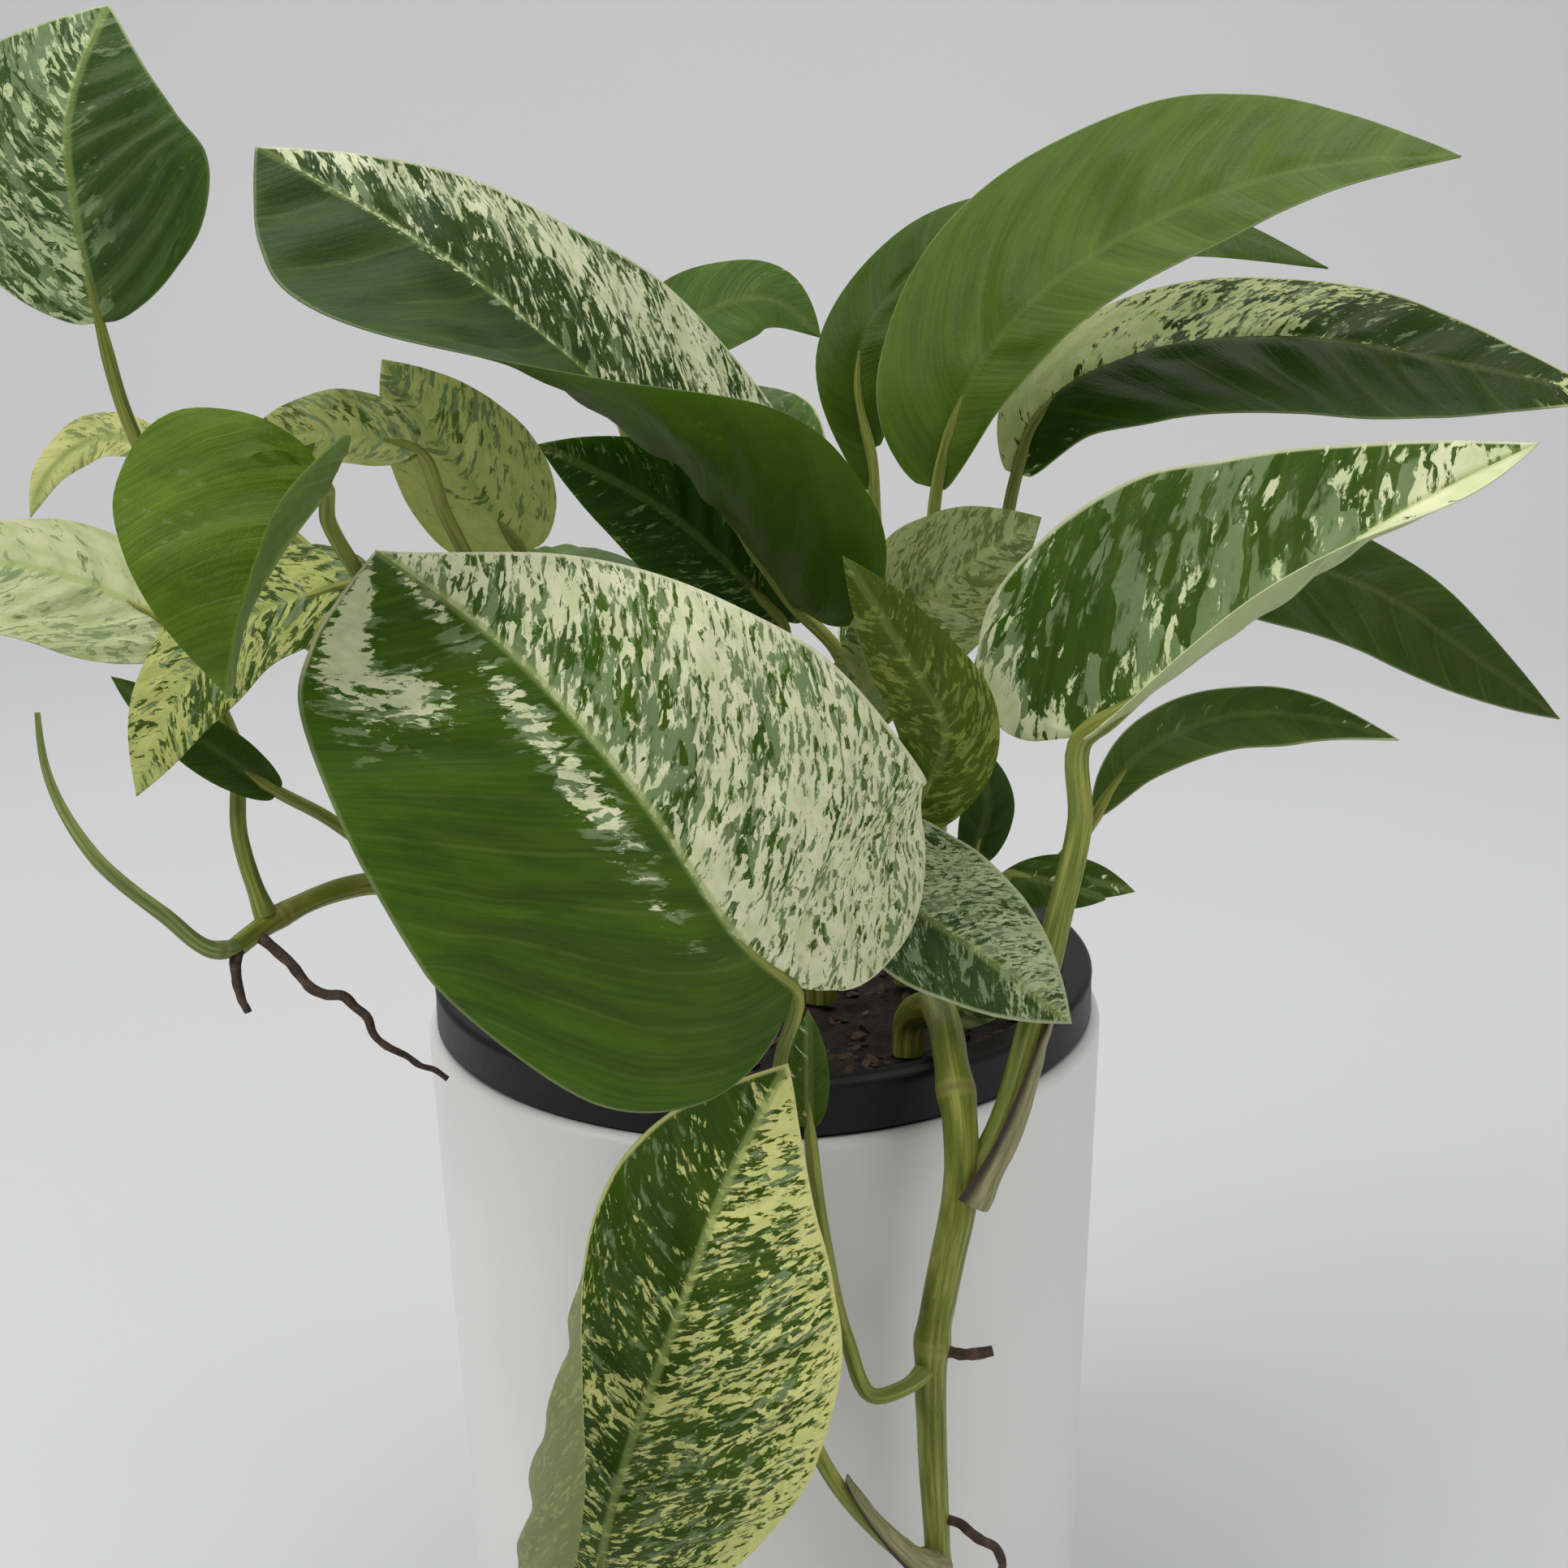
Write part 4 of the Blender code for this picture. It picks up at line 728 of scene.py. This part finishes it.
class PothosLook(bpy.types.PropertyGroup):
    """The sizes and colours that a user would change"""
    blade_thickness: FloatProperty(
        name="Blade Thickness", description="Leaf thickness, in millimetres",
        default=0.55, min=0.2, max=0.8)
    groove: FloatProperty(
        name="Midrib Groove", description="Depth of the midrib's groove, in millimetres",
        default=0.35, min=0.0, max=1.0)
    quilt: FloatProperty(
        name="Quilting", description="How far a blade swells between its veins, in millimetres",
        default=0.9, min=0.0, max=1.5)
    bark: IntProperty(
        name="Bark Chips", description="Number of bark chips in the potting mix",
        default=420, min=0, max=900)
    perlite: IntProperty(
        name="Perlite", description="Number of white grains in the potting mix",
        default=46, min=0, max=200)
    milky: FloatVectorProperty(
        name="Milky Green", description="Colour of the half-green marbling",
        subtype="COLOR", default=(0.20, 0.25, 0.135))
    midrib: FloatVectorProperty(
        name="Midrib", description="Colour of midribs and veins",
        subtype="COLOR", default=(0.36, 0.44, 0.13))
    stem: FloatVectorProperty(
        name="Stem", description="Colour of the stems",
        subtype="COLOR", default=(0.15, 0.18, 0.018))
    stem_pale: FloatVectorProperty(
        name="Pale Streaks", description="Colour of a stem's pale streaks",
        subtype="COLOR", default=(0.34, 0.35, 0.075))
    stem_dark: FloatVectorProperty(
        name="Dark Streaks", description="Colour of a stem's dark streaks",
        subtype="COLOR", default=(0.045, 0.075, 0.014))
    root: FloatVectorProperty(
        name="Roots", description="Colour of aerial roots and dry sheaths",
        subtype="COLOR", default=(0.060, 0.032, 0.018))
    pot: FloatVectorProperty(
        name="White Pot", description="Colour of the outer pot",
        subtype="COLOR", default=(0.84, 0.84, 0.82))
    plastic: FloatVectorProperty(
        name="Black Pot", description="Colour of the nursery pot",
        subtype="COLOR", default=(0.006, 0.006, 0.007))


class PotOperator:
    bl_options = {"REGISTER", "UNDO"}


class POTHOS_OT_outer_pot(PotOperator, bpy.types.Operator):
    """The white pot: a rounded foot, a slightly tapering wall and a rolled rim, turned on the lathe"""
    bl_idname = "pothos.outer_pot"
    bl_label = "White Pot"

    def execute(self, context):
        look_of = context.scene.pothos
        low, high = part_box("outer_pot")
        radius, height = high.x * 1000.0, high.z * 1000.0
        lean, wall, floor, heel = 0.022 * height, 3.5 * SCALE, 5.0, 1.5
        foot = radius - lean
        inside = foot - wall
        profile = [(0.0, 0.0), (foot - 12.0, 0.0), *arc((foot - heel, heel), heel, -90, 0, 6),
                   *zip(np.linspace(foot, radius, 16)[1:-1], np.linspace(heel, height - wall / 2, 16)[1:-1]),
                   *arc((radius - wall / 2, height - wall / 2), wall / 2, 0, 180, 14),
                   *arc((inside - 3.0, floor + 3.0), 3.0, 0, -90, 6), (0.0, floor)]
        skin = Skin("white_glaze", Specular_IOR_Level=0.4)
        spot = skin.place()
        cloud, fine = skin.noise(spot, 22.0, 3.0), skin.noise(spot, 900.0, 3.0)
        scuff = skin.step(skin.noise(skin.stretch(spot, (60.0, 60.0, 12.0)), 1.0, 4.0, 0.7), 0.72, 0.80)
        pot = tone_of(look_of.pot)
        colour = skin.mix(skin.step(cloud, 0.3, 0.7), pot, tone_of(pot, 0.965))
        skin.coat(skin.mix(scuff * 0.18, colour, (0.45, 0.44, 0.42)), 0.42 + 0.12 * (cloud - 0.5) + 0.15 * scuff)
        skin.bump(0.5 * cloud + 0.35 * fine, 0.00012, 0.5)
        piece("white_pot", *lathe(profile, 192), "white_ceramic", skin.material, sharp=60.0, replaced=("outer_pot",))
        return {"FINISHED"}


class POTHOS_OT_nursery_pot(PotOperator, bpy.types.Operator):
    """The black nursery pot: a thin tapering wall and a lip that is turned out and down"""
    bl_idname = "pothos.nursery_pot"
    bl_label = "Nursery Pot"

    def execute(self, context):
        low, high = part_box("nursery_pot")
        top, base, lip = high.z * 1000.0, low.z * 1000.0, high.x * 1000.0
        wide = lip - 4.0 * SCALE
        foot, skirt, wall = wide - 12.0, top - 8.0, 1.2
        outside = [(0.0, base), *arc((foot - 2.0, base + 2.0), 2.0, -90, 0, 5), (wide, skirt - 4.0), (wide, top - 1.5)]
        brim = [(lip - 1.5, top - 1.5), (lip - 1.5, skirt + 0.4), (lip - 1.1, skirt), (lip - 0.4, skirt),
                (lip, skirt + 0.4), (lip - 0.1, top - 2.2), *arc((lip - 1.1, top - 1.1), 1.1, 0, 90, 6),
                (lip - 3.0, top - 0.25), (wide + 0.2, top - 0.25),
                *arc((wide - wall + 0.8, top - 0.8), 0.8, 90, 180, 5)]
        inside = [(wide - wall, skirt - 4.0), (foot - wall, base + 2.0), (foot - wall - 0.8, base + wall),
                  (0.0, base + wall)]
        skin = Skin("black_plastic", Specular_IOR_Level=0.25)
        spot = skin.place()
        dust, grain = skin.noise(spot, 60.0, 4.0, 0.7), skin.noise(spot, 1500.0, 2.0)
        black = tone_of(context.scene.pothos.plastic)
        skin.coat(skin.mix(skin.step(dust, 0.5, 0.8) * 0.5, black, (0.022, 0.021, 0.020)), 0.46 + 0.25 * (dust - 0.5))
        skin.bump(grain + 0.3 * dust, 0.0001, 0.5)
        piece("black_pot", *lathe(outside + brim + inside, 160), "black_plastic", skin.material, sharp=45.0,
              replaced=("nursery_pot",))
        return {"FINISHED"}


class POTHOS_OT_soil(PotOperator, bpy.types.Operator):
    """The potting mix: a plug with a lumpy top, and the bark chips and perlite on it"""
    bl_idname = "pothos.soil"
    bl_label = "Potting Mix"

    def execute(self, context):
        look_of = context.scene.pothos
        low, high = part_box("soil")
        wide, base, top = high.x * 1000.0, low.z * 1000.0, high.z * 1000.0
        radii = np.linspace(wide, 0.0, 60)
        profile = [(0.0, base), (wide - 12.0, base), (wide, top - 6.0), *[(r, top - 0.4) for r in radii]]
        points, faces = lathe(profile, 200)
        x, y = points[3:, :, 0] * 1000.0, points[3:, :, 1] * 1000.0
        rough = 0.9 * lumps(x, y, 7.0, 1) + 0.7 * lumps(x, y, 2.6, 2) + 0.45 * lumps(x, y, 1.2, 3)
        rough = rough * np.clip((wide - np.hypot(x, y)) / 2.0, 0.0, 1.0) - 0.6
        points[3:, :, 2] += rough / 1000.0
        points[-1] = points[-1].mean(0)
        skin = Skin("potting_mix")
        spot = skin.place()
        clod, grit = skin.noise(spot, 260.0, 5.0, 0.7), skin.noise(spot, 1400.0, 3.0)
        colour = skin.mix(skin.step(clod, 0.35, 0.7), (0.007, 0.004, 0.0025), (0.030, 0.017, 0.010))
        skin.coat(skin.mix(skin.step(grit, 0.62, 0.75) * 0.5, colour, (0.11, 0.075, 0.045)), 0.85 + 0.1 * (clod - 0.5))
        skin.bump(clod + 0.5 * grit, 0.0009)
        piece("potting_mix", points, faces, "soil", skin.material, sharp=80.0, replaced=("soil",))
        for name, count, size, flat, seed, tones in (
                ("bark_chips", look_of.bark, (1.2, 4.6), 0.35, 7, ((0.020, 0.010, 0.006), (0.11, 0.060, 0.032))),
                ("perlite_grains", look_of.perlite, (0.8, 1.6), 0.8, 8, ((0.42, 0.40, 0.36), (0.62, 0.60, 0.55)))):
            if count:
                self.scatter(name, count, size, flat, seed, tones, wide - 3.0, top - 1.0)
        return {"FINISHED"}

    def scatter(self, name, count, size, flat, seed, tones, wide, top):
        """Copies of one faceted grain, a ring grid of 4 by 6 points, each with its own size, turn and place."""
        dice = np.random.default_rng(seed)
        up = np.array([-1.0, -0.45, 0.45, 1.0])
        angle = around(6)
        ring = np.sqrt(np.clip(1.0 - up ** 4, 0.0, 1.0))
        corners = len(up) * len(angle)
        unit_grain = np.stack([np.outer(ring, np.cos(angle)), np.outer(ring, np.sin(angle)),
                               np.repeat(up[:, None], 6, 1)], -1).reshape(-1, 3)
        scale = dice.uniform(*size, (count, 1, 1)) / 2 * np.stack(
            [np.ones(count), dice.uniform(0.35, 0.8, count), dice.uniform(0.5, 1.2, count) * flat], 1)[:, None]
        grains = unit_grain[None] * scale * dice.uniform(0.75, 1.2, (count, corners, 1))
        for end in (slice(0, 6), slice(-6, None)):
            grains[:, end] = grains[:, end].mean(1, keepdims=True)
        turn, tilt = dice.uniform(0, 2 * np.pi, count), dice.normal(0.0, 0.35, count)
        c, s, ct, st = np.cos(turn), np.sin(turn), np.cos(tilt), np.sin(tilt)
        x, y, z = np.moveaxis(grains, -1, 0)
        x, z = x * ct[:, None] + z * st[:, None], z * ct[:, None] - x * st[:, None]
        x, y = x * c[:, None] - y * s[:, None], x * s[:, None] + y * c[:, None]
        r = wide * np.sqrt(dice.uniform(0, 1, count))
        a = dice.uniform(0, 2 * np.pi, count)
        px, py = r * np.cos(a), r * np.sin(a)
        pz = top + 0.9 * lumps(px, py, 7.0, 1) + 0.7 * lumps(px, py, 2.6, 2) + dice.uniform(-0.1, 0.5, count)
        points = np.stack([x + px[:, None], y + py[:, None], z + pz[:, None]], -1).reshape(-1, 3) / 1000.0
        faces = np.concatenate([quads(4, 6, True) + corners * i for i in range(count)])
        skin = Skin(name)
        shade = np.repeat(dice.uniform(0, 1, count), corners)
        spot = skin.place()
        fibre = skin.noise(spot, 900.0, 4.0)
        dark, light = tones
        colour = skin.mix(skin.attribute("shade"), dark, light)
        skin.coat(skin.mix(skin.step(fibre, 0.4, 0.7) * 0.5, colour, tone_of(dark, 0.6)), 0.8 + 0.1 * (fibre - 0.5))
        skin.bump(fibre, 0.0004)
        piece(name, points, faces, "soil", skin.material, [("shade", shade)], sharp=35.0)


def rooted(name, route):
    """A route that starts inside the stem it grows from: the nearest point of that stem's route is put first."""
    host = HOSTS.get(name)
    if host is None:
        return route
    line = through(STEMS[host]["route"], np.linspace(0.0, 1.0, 200))
    near = line[np.argmin(np.linalg.norm(line - np.array(route[0], float), axis=1))]
    return [tuple(near), *route]


class POTHOS_OT_stems(PotOperator, bpy.types.Operator):
    """The stems: tubes carried along their routes, thicker at each joint, where a scar rings them"""
    bl_idname = "pothos.stems"
    bl_label = "Stems"

    def execute(self, context):
        look_of = context.scene.pothos
        skin = stem_skin("stem_bark", look_of.stem, look_of.stem_pale, look_of.stem_dark)
        rolled = stem_skin("rolled_leaf", (0.13, 0.19, 0.05), (0.33, 0.38, 0.12), (0.07, 0.11, 0.03))
        sides, swelling, swollen, scarred = 20, 0.16, 2.2, 1.0
        for name, spec in STEMS.items():
            u = np.linspace(0.0, 1.0, 40 + 6 * len(spec["route"]))
            route = through(rooted(name, spec["route"]), u)
            along = u * chords(route).sum()
            radii = girth_at(spec["girth"], u)
            ring = np.zeros_like(u)
            for joint in JOINTS[name]:
                gap = along - joint * along[-1]
                radii = radii * (1.0 + swelling * np.exp(-(gap / swollen) ** 2))
                ring = np.maximum(ring, np.exp(-(gap / scarred) ** 2))
            angle = around(sides)
            worn = lumps(along[:, None] + 300, 9.0 * np.cos(angle)[None] + 50, 4.0, 11)
            ribbed = radii[:, None] * (1.0 + 0.03 * np.cos(5 * angle + 1.0)[None] + 0.03 * worn)
            points, faces, facts = sweep(route, ribbed, sides)
            ring = np.repeat(np.concatenate([ring[:1], ring, ring[-1:]]), sides)
            slot, material = ("leaf_green", rolled) if name.startswith("leaf") else ("stem", skin)
            piece("grown_" + name, metres(points), faces, slot, material, [("tube", facts), ("joint", ring)],
                  replaced=(name,))
        return {"FINISHED"}


class POTHOS_OT_roots(PotOperator, bpy.types.Operator):
    """The aerial roots: thin tubes that wander a little and taper to their tips"""
    bl_idname = "pothos.roots"
    bl_label = "Aerial Roots"

    def execute(self, context):
        root = context.scene.pothos.root
        skin = Skin("dry_root")
        spot = skin.place()
        crust = skin.noise(spot, 500.0, 4.0, 0.7)
        skin.coat(skin.mix(skin.step(crust, 0.4, 0.7), tone_of(root, 0.5), tone_of(root, 1.9)),
                  0.75 + 0.1 * (crust - 0.5))
        skin.bump(crust, 0.0003)
        for seed, (name, spec) in enumerate(ROOTS.items()):
            u = np.linspace(0.0, 1.0, 60)
            route = through(rooted(name, spec["route"]), u)
            fade = np.clip(u * 6.0, 0.0, 1.0)[:, None]
            length = chords(route).sum()
            wander = [lumps(u * length, u * 0 + lane, 2.5, 20 + seed) for lane in (3.5, 11.5, 23.5)]
            route = route + 0.45 * fade * np.stack(wander, 1)
            radii = girth_at(spec["girth"], u) * (1.0 + 0.14 * lumps(u * length, u * 0 + 7, 1.1, 31 + seed))
            points, faces, facts = sweep(route, radii, 10)
            piece("grown_" + name, metres(points), faces, "root", skin.material, [("tube", facts)], replaced=(name,))
        return {"FINISHED"}


def petiole_route(spec, samples=48):
    """A petiole's smooth route from inside its stem to under the blade, and its radii."""
    stem_name, share, *way = spec["stalk"]
    centre = through(STEMS[stem_name]["route"], share)
    away = unit(np.array(way[0], float) - centre)
    up = unit(np.array(spec["face"][0], float))
    under = [through(spec["mid"], u) - 0.35 * up for u in (0.0, 0.07, 0.16)]
    route = through([centre + away * 1.2, *way, *under], np.linspace(0.0, 1.0, samples))
    wide, slim = spec["girth"]
    u = np.linspace(0.0, 1.0, samples)
    radii = wide + (slim - wide) * u
    radii = radii * (1.0 + 0.35 * np.exp(-(u / 0.05) ** 2)) * np.where(u > 0.9, 1.0 - 0.65 * (u - 0.9) / 0.1, 1.0)
    return route, radii


class POTHOS_OT_petioles(PotOperator, bpy.types.Operator):
    """The leaf stalks: slim tubes, grooved along one side, from stem to blade"""
    bl_idname = "pothos.petioles"
    bl_label = "Petioles"

    def execute(self, context):
        look_of = context.scene.pothos
        skin = stem_skin("petiole_skin", (0.15, 0.20, 0.03), look_of.stem_pale, (0.08, 0.12, 0.02), 0.5)
        angle = around(14)
        grooved = (1.0 - 0.18 * np.exp(-((angle - np.pi / 2) / 0.5) ** 2))[None]
        tubes = [sweep(route, radii[:, None] * grooved, len(angle))
                 for route, radii in map(petiole_route, LEAVES.values())]
        points, faces, facts = (np.concatenate(kept) for kept in zip(*tubes))
        faces = faces + np.repeat(np.arange(len(tubes)) * len(tubes[0][0]), len(tubes[0][1]))[:, None]
        piece("petioles", metres(points), faces, "stem", skin, [("tube", facts), ("joint", np.zeros(len(points)))])
        return {"FINISHED"}


class POTHOS_OT_sheaths(PotOperator, bpy.types.Operator):
    """The dry sheaths: thin gutters round the foot of a petiole, with dark curled edges"""
    bl_idname = "pothos.sheaths"
    bl_label = "Dry Sheaths"

    def execute(self, context):
        skin = Skin("dry_sheath")
        gutter = skin.attribute("gutter", "Vector")
        line = skin.noise(skin.stretch(gutter, (0.08, 3.0, 0.0)), 1.0, 4.0)
        edge = skin.attribute("edge")
        colour = skin.mix(skin.step(line, 0.4, 0.62), (0.20, 0.20, 0.07), (0.34, 0.31, 0.15))
        skin.coat(skin.mix(skin.step(edge, 0.72, 0.92), colour, tone_of(context.scene.pothos.root, 0.5)),
                  0.6 + 0.2 * (line - 0.5))
        skin.bump(line, 0.0003)
        samples, columns, long, thick = 120, 15, 60, 0.22
        for name, (leaf_name, last, span, loose) in SHEATHS.items():
            rows = int(last * (samples - 1)) + 1
            route, radii = (kept[:rows] for kept in petiole_route(LEAVES[leaf_name], samples))
            ahead = unit(np.gradient(route, axis=0))
            side = unit(np.cross(ahead, (0.2, 1.0, 0.1)))
            other = np.cross(ahead, side)
            u = np.linspace(0.0, 1.0, rows)
            theta = np.linspace(-0.5, 0.5, columns)
            angle = np.radians(span) * (1.0 - 0.75 * u ** 2)[:, None] * theta[None] + np.pi
            radius = radii[:, None] * (loose + 0.25 * np.abs(2 * theta[None]) ** 3)
            radius = radius + 0.15 * lumps(u[:, None] * long + 9, theta[None] * 9 + 30, 4.0, 3)
            ring = np.cos(angle)[..., None] * side[:, None] + np.sin(angle)[..., None] * other[:, None]
            outer, inner = (route[:, None] + ring * r[..., None] for r in (radius, radius - thick))
            points, faces = shell(outer, inner, closed=True)
            brink = np.tile(np.abs(2 * theta), 2 * rows)
            piece(name, metres(points), faces, "root", skin.material,
                  [("gutter", np.tile(pairs(u * long, theta * 4), (2, 1))), ("edge", brink)])
        return {"FINISHED"}


class POTHOS_OT_leaves(PotOperator, bpy.types.Operator):
    """The leaves: one thin quilted blade for each, with its own marbling"""
    bl_idname = "pothos.leaves"
    bl_label = "Leaves"

    def execute(self, context):
        look_of = context.scene.pothos
        for name, spec in LEAVES.items():
            size, style, own = length_of(spec), LOOKS[name], name.removeprefix("leaf_")
            rows, half = (96, 22) if size > 75 else (64, 16) if size > 40 else (36, 10)
            points, faces, attributes = blade(spec, style, rows, half, look_of.blade_thickness, look_of.groove,
                                              look_of.quilt)
            piece("blade_" + own, metres(points), faces, "leaf_" + spec["tone"],
                  leaf_skin(look_of, style, own + "_skin"), attributes, replaced=(name,))
        return {"FINISHED"}


def placed(axes, spot):
    """The matrix of a lamp or camera at a spot, with its own x, y and z along the axes."""
    return Matrix([[*row, at] for row, at in zip(np.stack(axes, 1), spot)] + [[0, 0, 0, 1]])


class POTHOS_OT_stage(PotOperator, bpy.types.Operator):
    """The stage: a pale sweep under and behind the plant, soft lights, and the camera"""
    bl_idname = "pothos.stage"
    bl_label = "Stage"

    def execute(self, context):
        scene = context.scene
        scene.view_settings.view_transform = "Standard"
        bend = [(0.9 + 0.6 * math.sin(a), 0.6 - 0.6 * math.cos(a)) for a in np.linspace(0.0, 1.45, 14)]
        run = [(-3.2, 0.0), (-1.5, 0.0), (0.2, 0.0), *bend, (1.56, 3.4)]
        points = [(across, depth, height) for depth, height in run for across in (-3.5, -1.2, 0.0, 1.2, 3.5)]
        mesh = bpy.data.meshes.new("sweep")
        mesh.from_pydata(points, [], [tuple(f) for f in quads(len(run), 5)])
        mesh.polygons.foreach_set("use_smooth", np.ones(len(mesh.polygons), bool))
        skin = Skin("backdrop", Roughness=0.9, Specular_IOR_Level=0.1)
        paper = skin.noise(skin.place(), 2.0, 2.0)
        skin.into("Base Color", skin.mix(paper, (0.655, 0.655, 0.655), (0.685, 0.685, 0.69)))
        mesh.materials.append(skin.material)
        floor = bpy.data.objects.new("backdrop", mesh)
        scene.collection.objects.link(floor)

        world = bpy.data.worlds.new("room")
        world.use_nodes = True
        sky = world.node_tree.nodes["Background"].inputs
        sky["Color"].default_value, sky["Strength"].default_value = (0.97, 0.985, 1.0, 1.0), 0.34
        scene.world = world
        for name, (spot, aim, size, power) in LIGHTS.items():
            light = bpy.data.lights.new(name, "AREA")
            light.size, light.energy = size, power
            lamp = bpy.data.objects.new(name, light)
            scene.collection.objects.link(lamp)
            away = unit(np.array(spot) - np.array(aim))
            side = unit(np.cross((0.0, 0.0, 1.0), away))
            lamp.matrix_world = placed((side, np.cross(away, side), away), spot)

        camera = bpy.data.objects.new("camera", bpy.data.cameras.new("camera"))
        camera.data.lens, camera.data.sensor_width, camera.data.clip_start = LENS, SENSOR, 0.01
        pitch, roll = math.radians(LOOK_DOWN), math.radians(ROLL)
        level, rise = np.array([1.0, 0.0, 0.0]), np.array([0.0, math.sin(pitch), math.cos(pitch)])
        right = level * math.cos(roll) + rise * math.sin(roll)
        over = rise * math.cos(roll) - level * math.sin(roll)
        ahead = np.array([0.0, math.cos(pitch), -math.sin(pitch)])
        x, y, z = CAMERA_SPOT
        camera.matrix_world = placed((right, over, -ahead), (x, y, LIP_TOP / 1000.0 + z))
        scene.collection.objects.link(camera)
        scene.camera = camera
        return {"FINISHED"}


STEPS = ("outer_pot", "nursery_pot", "soil", "stems", "roots", "petioles", "sheaths", "leaves", "stage")


class POTHOS_PT_panel(bpy.types.Panel):
    """Lists the sizes, the colours and the operators in the order that they run"""
    bl_label = "Potted Pothos"
    bl_idname = "POTHOS_PT_panel"
    bl_space_type = "VIEW_3D"
    bl_region_type = "UI"
    bl_category = "Pothos"

    def draw(self, context):
        for name in PothosLook.__annotations__:
            self.layout.prop(context.scene.pothos, name)
        for name in STEPS:
            self.layout.operator("pothos." + name)


CLASSES = (PothosLook, POTHOS_OT_outer_pot, POTHOS_OT_nursery_pot, POTHOS_OT_soil, POTHOS_OT_stems, POTHOS_OT_roots,
           POTHOS_OT_petioles, POTHOS_OT_sheaths, POTHOS_OT_leaves, POTHOS_OT_stage, POTHOS_PT_panel)


def register():
    for made in CLASSES:
        bpy.utils.register_class(made)
    bpy.types.Scene.pothos = PointerProperty(type=PothosLook)


def unregister():
    del bpy.types.Scene.pothos
    for made in reversed(CLASSES):
        bpy.utils.unregister_class(made)


def main():
    register()
    for name in STEPS:
        getattr(bpy.ops.pothos, name)()
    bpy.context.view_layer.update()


if __name__ == "__main__":
    main()
